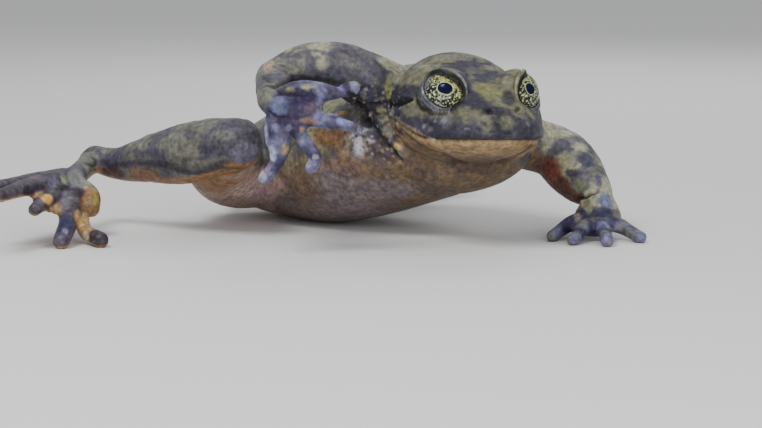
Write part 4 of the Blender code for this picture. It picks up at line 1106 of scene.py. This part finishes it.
def digit_colours(points, normals, colours):
    """Indigo fingers with lavender pads and pale tips; dark toes, a paler inner toe, and
    an orange web and sole."""
    for digits in (RIGHT_FINGERS, LEFT_FINGERS):
        for digit in digits:
            share, far, radius = nearest_on(points, digit)
            pads = bell(share, 0.45, 0.13) + bell(share, 0.95, 0.1)
            own = toned(INDIGO, LAVENDER, 0.12 + 0.75 * pads + 0.5 * noise(points, 1.1, 51, 2))
            if digits is LEFT_FINGERS:
                own = mixed(own, GREY_OLIVE, 0.7 * smoothstep(0.02, 0.25, noise(points, 1.8, 57, 2)))
            colours = mixed(colours, own, smoothstep(1.7, 1.25, far / radius))
    for digits in (RIGHT_TOES, LEFT_TOES):
        near = np.full(len(points), 99.0)
        for digit in digits:
            share, far, radius = nearest_on(points, digit)
            near = np.minimum(near, far + 5 * smoothstep(0.2, 0.05, share))
        colours = mixed(colours, ground(points, WEB_ORANGE, ORANGE, 2.4, 29, 0.3), smoothstep(4.2, 3.0, near))
        for number, digit in enumerate(digits):
            share, far, radius = nearest_on(points, digit)
            on_toe = smoothstep(1.4, 1.1, far / radius) * smoothstep(-0.75, -0.35, normals[:, 2])
            own = ground(points, DARK, PURPLE_GREY, 1.8, 37, 0.5)
            if number == 0:
                own = toned(WEB_ORANGE, DARK, smoothstep(0.84, 0.93, share))
            colours = mixed(colours, own, 0.95 * on_toe)
    return colours


def wobbled(points):
    """The points pushed about a little, so that what is drawn by them has uneven edges."""
    return points + 0.42 * np.stack([noise(points, 1.7, seed, 3) for seed in (101, 111, 121)], axis=1)


def skin_colours(points, normals, seen):
    """One colour a point: the ground of each part, then the named spots, lines and creases, with painted
    shade and shadow among them.
    """
    colours = trunk_and_limbs(points, normals)
    colours = head_colours(points, normals, colours)
    colours = digit_colours(points, normals, colours)
    uneven = wobbled(points)
    far, number = cells(points, 1.15, 7)
    rough = smoothstep(1.15, 0.7, seen.off_spot(uneven, ROUGH_SKIN)) * smoothstep(0.55, 0.3, far)
    colours = mixed(colours, linear(150, 146, 132), 0.65 * rough * (number > 0.66))
    colours = mixed(colours, LIP_PURPLE, 0.75 * rough * (number < 0.36))
    for spot, colour, strength in SPOTS.values():
        colours = mixed(colours, colour, strength * smoothstep(1.25, 0.75, seen.off_spot(uneven, spot)))
    for pixels, half_width, colour, strength in LINES.values():
        off = seen.off_line(uneven, pixels) / half_width
        colours = mixed(colours, colour, strength * smoothstep(1.3, 0.75, off))
    # painted shade: each crease darkened towards black in its hollow
    for pixels, half_width, depth, dark in CREASES.values():
        off = seen.off_line(points, pixels) / half_width
        colours = mixed(colours, BLACK, dark * bell(off, 0, 0.75))
    local, bearing, outside, above_lips = about_head(points)
    top_of_head = smoothstep(1.25, 1.05, outside) * smoothstep(-0.2, 0.2, above_lips)
    colours = colours * (1 - 0.36 * top_of_head * smoothstep(-9, -4, local[:, 1]))[:, None]
    far, number = cells(points, 0.75, 19)
    grain = smoothstep(0.62, 0.2, far) * (number - 0.5)
    return np.clip(colours * (1 + 0.55 * grain + 0.3 * noise(points, 0.8, 87, 2))[:, None], 0, 1)


def raised(points, normals, seen):
    """The skin's own relief: low lumps, small warts, the named pads, and the creases
    with a soft lip on either side."""
    uneven = wobbled(points)
    rough = smoothstep(1.2, 0.7, seen.off_spot(uneven, ROUGH_SKIN))
    far, number = cells(points, 1.15, 7)
    height = 0.10 * noise(points, 2.8, 91, 2) * smoothstep(-0.5, 0.3, normals[:, 2])
    height += (0.02 + 0.13 * rough) * smoothstep(0.6, 0.15, far) * (0.5 + number)
    share, off_shank, radius = nearest_on(points, RIGHT_SHANK)
    height += 0.28 * noise(points, 2.3, 95, 2) * smoothstep(1.6, 1.2, off_shank / radius)
    for spot, high in PADS.values():
        off = seen.off_spot(points, spot)
        height += high * (smoothstep(1.25, 0.35, off) - 0.3 * bell(off, 1.3, 0.15))
    for pixels, half_width, depth, dark in CREASES.values():
        off = seen.off_line(points, pixels) / half_width
        height -= depth * (bell(off, 0, 1) - 0.3 * bell(off, 2.0, 0.8))
    for side in (1, -1):
        height *= smoothstep(0, 0.6, about_eye(points, side)[0] - LID_RADIUS - 0.2)
    return points + normals * height[:, None]


def relaxed(mesh, points, weight, times):
    """Each point drawn towards the middle of its neighbours by its own weight, again
    and again, which evens out cells that were stretched."""
    edges = np.empty(len(mesh.edges) * 2, np.int32)
    mesh.edges.foreach_get("vertices", edges)
    one, other = np.concatenate([edges[0::2], edges[1::2]]), np.concatenate([edges[1::2], edges[0::2]])
    count = np.maximum(np.bincount(one, minlength=len(points)), 1)
    for _ in range(times):
        middle = np.stack([np.bincount(one, points[other, axis], len(points)) for axis in range(3)], axis=1)
        points = points + weight[:, None] * (middle / count[:, None] - points)
    return points


def skin_object():
    """The whole skin with its forms and colours."""
    skin = drawn_over(flesh_pieces(), "skin")
    head = np.linalg.norm(in_head(points_of(skin.data)) - FINE_MIDDLE, axis=1) < FINE_REACH
    skin = fewer(skin, head, FACES_KEPT)
    points = carve_head(points_of(skin.data))
    for side in (1, -1):
        far, gape, round_eye = about_eye(points, side)
        weight = smoothstep(0.98, 1.06, gape) * smoothstep(2.15, 1.75, gape) * smoothstep(6.8, 5.8, far)
        points = relaxed(skin.data, points, 0.8 * weight, 8)
    points[:, 2] = np.maximum(points[:, 2], FLOOR_GAP)
    set_points(skin.data, points)
    seen = Seen(skin)
    normals = normals_of(skin.data)
    shaped = raised(points, normals, seen)
    shaped[:, 2] = np.maximum(shaped[:, 2], FLOOR_GAP)
    set_points(skin.data, shaped)
    paint(skin, "skin_colour", skin_colours(points, normals, seen))
    warty = 0.12 + 0.88 * smoothstep(1.3, 0.7, seen.off_spot(points, ROUGH_SKIN))
    skin.data.attributes.new("skin_rough", "FLOAT", "POINT").data.foreach_set("value", warty)
    return skin


def node_tree(name):
    """A new material with its node tree and its shader."""
    material = bpy.data.materials.new(name)
    material.use_nodes = True
    return material, material.node_tree, material.node_tree.nodes["Principled BSDF"]


def layer_of(tree, name):
    """The outputs of a node that reads a named layer of the mesh."""
    made = tree.nodes.new("ShaderNodeAttribute")
    made.attribute_name = name
    return made.outputs


def mapped(tree, value, given, wanted=(0, 1)):
    """A value moved from one range to another."""
    made = tree.nodes.new("ShaderNodeMapRange")
    made.inputs["From Min"].default_value, made.inputs["From Max"].default_value = given
    made.inputs["To Min"].default_value, made.inputs["To Max"].default_value = wanted
    tree.links.new(value, made.inputs["Value"])
    return made.outputs["Result"]


def reckoned(tree, operation, one, other):
    """Two values added or multiplied."""
    made = tree.nodes.new("ShaderNodeMath")
    made.operation = operation
    tree.links.new(one, made.inputs[0])
    tree.links.new(other, made.inputs[1])
    return made.outputs["Value"]


def colour_mix(tree, one, other, how="MIX"):
    """A node that mixes two colours by its factor, which is 1 until it is linked."""
    made = tree.nodes.new("ShaderNodeMix")
    made.data_type, made.blend_type = "RGBA", how
    made.inputs["Factor"].default_value = 1
    tree.links.new(one, made.inputs["A"])
    tree.links.new(other, made.inputs["B"])
    return made


def skin_material():
    """Wet skin: the painted colour broken up by fine specks, and on rough places by
    small round warts in the colours of the skin, all with small bumps."""
    material, tree, shader = node_tree("wet_skin")
    link = tree.links.new
    place = tree.nodes.new("ShaderNodeTexCoord").outputs["Object"]

    def grain(scale, detail):
        """Fine noise of the given scale and detail."""
        made = tree.nodes.new("ShaderNodeTexNoise")
        made.inputs["Scale"].default_value = scale
        made.inputs["Detail"].default_value = detail
        made.inputs["Roughness"].default_value = 0.6
        link(place, made.inputs["Vector"])
        return made.outputs["Fac"]

    specks = mapped(tree, grain(1500, 5), (0.35, 0.65), (0.62, 1.38))
    painted = colour_mix(tree, layer_of(tree, "skin_colour")["Color"], specks, "MULTIPLY")
    warts = tree.nodes.new("ShaderNodeTexVoronoi")
    warts.inputs["Scale"].default_value = 1250
    link(place, warts.inputs["Vector"])
    round_wart = mapped(tree, warts.outputs["Distance"], (0.45, 0.2))
    share = reckoned(tree, "MULTIPLY", round_wart, layer_of(tree, "skin_rough")["Fac"])
    kind = tree.nodes.new("ShaderNodeSeparateColor")
    link(warts.outputs["Color"], kind.inputs["Color"])
    shade = tree.nodes.new("ShaderNodeValToRGB")
    shade.color_ramp.interpolation = "CONSTANT"
    stops = ((0.0, PURPLE_GREY), (0.35, GREY_OLIVE), (0.62, OLIVE), (0.85, SPECK))
    shade.color_ramp.elements[1].position = stops[1][0]
    for start, tone in stops[2:]:
        shade.color_ramp.elements.new(start)
    for stop, (start, tone) in zip(shade.color_ramp.elements, stops):
        stop.color = (*tone, 1)
    link(kind.outputs["Red"], shade.inputs["Fac"])
    warted = colour_mix(tree, painted.outputs["Result"], shade.outputs["Color"])
    link(share, warted.inputs["Factor"])
    link(warted.outputs["Result"], shader.inputs["Base Color"])
    bump = tree.nodes.new("ShaderNodeBump")
    bump.inputs["Strength"].default_value = 0.5
    bump.inputs["Distance"].default_value = 0.00025
    link(reckoned(tree, "ADD", grain(1100, 4), share), bump.inputs["Height"])
    link(bump.outputs["Normal"], shader.inputs["Normal"])
    shader.inputs["Roughness"].default_value = 0.5
    shader.inputs["Specular IOR Level"].default_value = 0.3
    shader.inputs["Subsurface Weight"].default_value = 0.08
    shader.inputs["Subsurface Scale"].default_value = 0.0008
    return material


def eyeball(side, name):
    """An eyeball as a function of the angle from where it looks and the bearing round
    that: an oval pupil in a yellow green iris with a black network. The left pupil
    glances a few degrees forward and up."""
    rings, sides, roundness = 150, 240, 2.2
    own = EYES[side]
    lean = np.pi * (np.arange(rings) + 1)[:, None] / (rings + 1)
    turn = -side * 2 * np.pi * np.arange(sides)[None, :] / sides
    ahead = np.degrees(lean) * np.cos(turn)
    upward = np.degrees(lean) * np.sin(turn)
    tilt = math.radians(PUPIL_TILT)
    off, rise = ahead - own["glance"][0], upward - own["glance"][1]
    across = (off * math.cos(tilt) + rise * math.sin(tilt)) / own["pupil"][0]
    up = (rise * math.cos(tilt) - off * math.sin(tilt)) / own["pupil"][1]
    pupil = (np.abs(across)**roundness + np.abs(up)**roundness)**(1 / roundness)
    far = EYE_RADIUS - (0.10 * bell(np.degrees(lean), 24, 14) + 0.14 * smoothstep(1.05, 0.8, pupil))
    points = from_eye(side, lean, turn, far).reshape(-1, 3)
    streak = np.stack([np.cos(turn) * 3 + 0 * lean, np.sin(turn) * 3 + 0 * lean,
                       np.degrees(lean) / 13 + 0 * turn], axis=-1).reshape(-1, 3)
    net = np.minimum(np.abs(noise(points, 0.36, 3)), np.abs(noise(points, 0.27, 9)))
    net = np.minimum(net, 1.3 * np.abs(noise(streak, 0.55, 13)))
    ahead, upward, pupil = ahead.ravel(), upward.ravel(), pupil.ravel()
    high = smoothstep(-12, 24, upward + 0.3 * np.abs(ahead)) * own["gold"]
    colours = toned(IRIS_PALE, IRIS_GOLD, 0.1 + 0.8 * high)
    colours = mixed(colours, IRIS_BRIGHT, 0.7 * smoothstep(0.1, 0.4, noise(points, 0.5, 21, 2)))
    width = 0.21 - 0.10 * high * smoothstep(56, 30, np.hypot(ahead, upward))
    width = width * smoothstep(1.0, 1.25, pupil)
    colours = mixed(colours, BLACK, 0.97 * smoothstep(1.1, 0.75, net / np.maximum(width, 1e-4)))
    colours = mixed(colours, IRIS_BRIGHT, own["ring"] * bell(pupil, 1.09, 0.04))
    colours = mixed(colours, PUPIL, smoothstep(1.06, 1.0, pupil))
    rear_rim = 0.8 * smoothstep(52, 58, np.hypot(ahead, 0.95 * upward)) * smoothstep(10, -25, ahead)
    colours = mixed(colours, LID_GREY, rear_rim)
    shaded = smoothstep(24, 29, upward + 0.004 * ahead**2 - own["shade"])
    colours = mixed(colours, BLACK, 0.92 * shaded)
    colours = mixed(colours, BLACK, smoothstep(76, 86, np.hypot(ahead, upward)))
    axis = eye_frame(side)[0]
    front, back = eye_centre(side) + axis * far[0, 0], eye_centre(side) - axis * EYE_RADIUS
    eye = mesh_object(name, np.concatenate([[front], points, [back]]), ring_faces(rings, sides))
    paint(eye, "eye_colour", np.concatenate([[PUPIL], colours, [BLACK]]))
    return eye


def lid(side, name):
    """The rim of the lids as a function of the bearing round the eye and of how far out
    from the opening: a rounded lip, and low folds of skin below and behind it, closed
    from its outer edge back to its inner one."""
    around, across = 260, 26
    turn = (-side * 2 * np.pi * np.arange(around) / around)[None, :]
    out = np.linspace(0, 1, across)[:, None] + 0 * turn
    low = lower_rear(np.degrees(turn)) + 0 * out
    over, under = np.maximum(np.sin(turn), 0), np.maximum(-np.sin(turn), 0)
    cover = 0.16 * over**2 + EYES[side]["cover"] * under**2
    gape = 0.97 - cover + out * (0.30 + 0.52 * low + cover)
    lean = np.radians(gape / gape_per_degree(turn))
    lip = np.sin(np.pi * np.clip(out * 1.6, 0, 1))**0.6 * (1 - 0.8 * over)
    wave = 2 * np.pi * LID_FOLDS * out
    folds = 0.12 * low * np.cos(wave + 0.6 * np.sin(3 * turn)) * smoothstep(0, 0.3, out)
    base = EYE_RADIUS + 0.02 + (SKIN_LID - 0.02 - EYE_RADIUS) * smoothstep(0, 0.25 + 0.4 * over, out)
    far = base - 0.75 * smoothstep(0.62, 1, out) + 0.12 * lip + folds
    points = from_eye(side, lean, turn, far).reshape(-1, 3)
    row = np.arange(across)[:, None] * around
    after = (row + around) % (across * around)
    here, there = np.arange(around)[None, :], (np.arange(around)[None, :] + 1) % around
    faces = np.stack([row + there, after + there, after + here, row + here], -1).reshape(-1, 4)
    thing = mesh_object(name, points, faces.tolist())
    out, low, wave = out.ravel(), low.ravel(), wave.ravel()
    colours = toned(EYES[side]["rim"], LID_GREY, low)
    colours = mixed(colours, WHITE, 0.45 * low * smoothstep(0.2, 0.6, noise(points, 0.5, 33, 2) + 0.2))
    colours = mixed(colours, LIP_PURPLE, 0.7 * low * smoothstep(-0.3, -0.8, np.cos(wave)))
    colours = mixed(colours, BLACK, smoothstep(0.42, 0.24, out) * (1 - 0.85 * low))
    colours = mixed(colours, BLACK, smoothstep(0.08, 0.04, out))
    colours = mixed(colours, BLACK, 0.85 * low * bell(out, 0.34, 0.05))
    colours = colours * (1 + 0.5 * noise(points, 0.7, 63, 2))[:, None]
    colours = mixed(colours, BLACK, low * smoothstep(0.6, 0.68, out))
    paint(thing, "skin_colour", colours)
    return thing


def eye_material():
    """The painted iris under a clear wet coat."""
    material, tree, shader = node_tree("wet_eye")
    tree.links.new(layer_of(tree, "eye_colour")["Color"], shader.inputs["Base Color"])
    shader.inputs["Roughness"].default_value = 0.4
    shader.inputs["Specular IOR Level"].default_value = 0.05
    shader.inputs["Coat Weight"].default_value = 0.22
    shader.inputs["Coat Roughness"].default_value = 0.02
    return material


# Lamps: place, size and power; all but the key show in no reflection
LAMPS = {
    "key": ((-150, -180, 340), 150, 1.25),
    "fill": ((120, -330, 60), 320, 1.5),
    "rim": ((80, 320, 260), 220, 0.6),
}
LAMPS_AIM = LOOK_AT + (0, 15, 8)
FLOOR_REACH = 900.0


def floor_and_light():
    """A pale floor, a large soft key from above, a fill and a rim, and a pale sky."""
    corners = FLOOR_REACH * np.array([(-1, -1, 0), (1, -1, 0), (1, 1, 0), (-1, 1, 0)])
    floor = mesh_object("floor", corners, [(0, 1, 2, 3)])
    material, tree, shader = node_tree("pale_floor")
    shader.inputs["Base Color"].default_value = (0.62, 0.61, 0.6, 1)
    shader.inputs["Roughness"].default_value = 0.8
    floor.data.materials.append(material)
    for name, (place, size, power) in LAMPS.items():
        lamp = bpy.data.lights.new(name, "AREA")
        lamp.energy, lamp.size = power, size * MM
        thing = in_scene(name, lamp)
        thing.visible_glossy = name == "key"
        thing.location = (np.array(place, float) + SHIFT) * MM
        aim = Vector((LAMPS_AIM - place) * MM)
        thing.rotation_euler = aim.to_track_quat("-Z", "Y").to_euler()
    world = bpy.data.worlds.new("soft_sky")
    world.use_nodes = True
    sky = world.node_tree.nodes["Background"]
    sky.inputs["Color"].default_value = (0.8, 0.82, 0.85, 1)
    sky.inputs["Strength"].default_value = 0.8
    bpy.context.scene.world = world


def camera():
    """The photo's view."""
    lens = bpy.data.cameras.new("photo_view")
    lens.sensor_width = SENSOR_WIDTH
    lens.lens = SENSOR_WIDTH * CAMERA_FAR / FIELD_WIDTH
    lens.clip_start, lens.clip_end = 0.01, 10
    thing = in_scene("photo_view", lens)
    thing.location = (camera_place()[0] + SHIFT) * MM
    thing.rotation_euler = (math.radians(90 - CAMERA_LIFT), 0, 0)
    bpy.context.scene.camera = thing


def main():
    """Camera, floor and lamps, then every piece with its material and its body."""
    camera()
    floor_and_light()
    skin = skin_object()
    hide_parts(*FLESH_NODES)
    wet_skin = skin_material()
    for piece in (skin, lid(1, "lid_right"), lid(-1, "lid_left")):
        piece.data.materials.append(wet_skin)
        piece.data.shade_smooth()
        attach(piece, "root")
    wet = eye_material()
    for side, node in ((1, "eye_right"), (-1, "eye_left")):
        eye = eyeball(side, node + "_ball")
        eye.data.materials.append(wet)
        eye.data.shade_smooth()
        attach(eye, "root")
        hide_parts(node)


main()
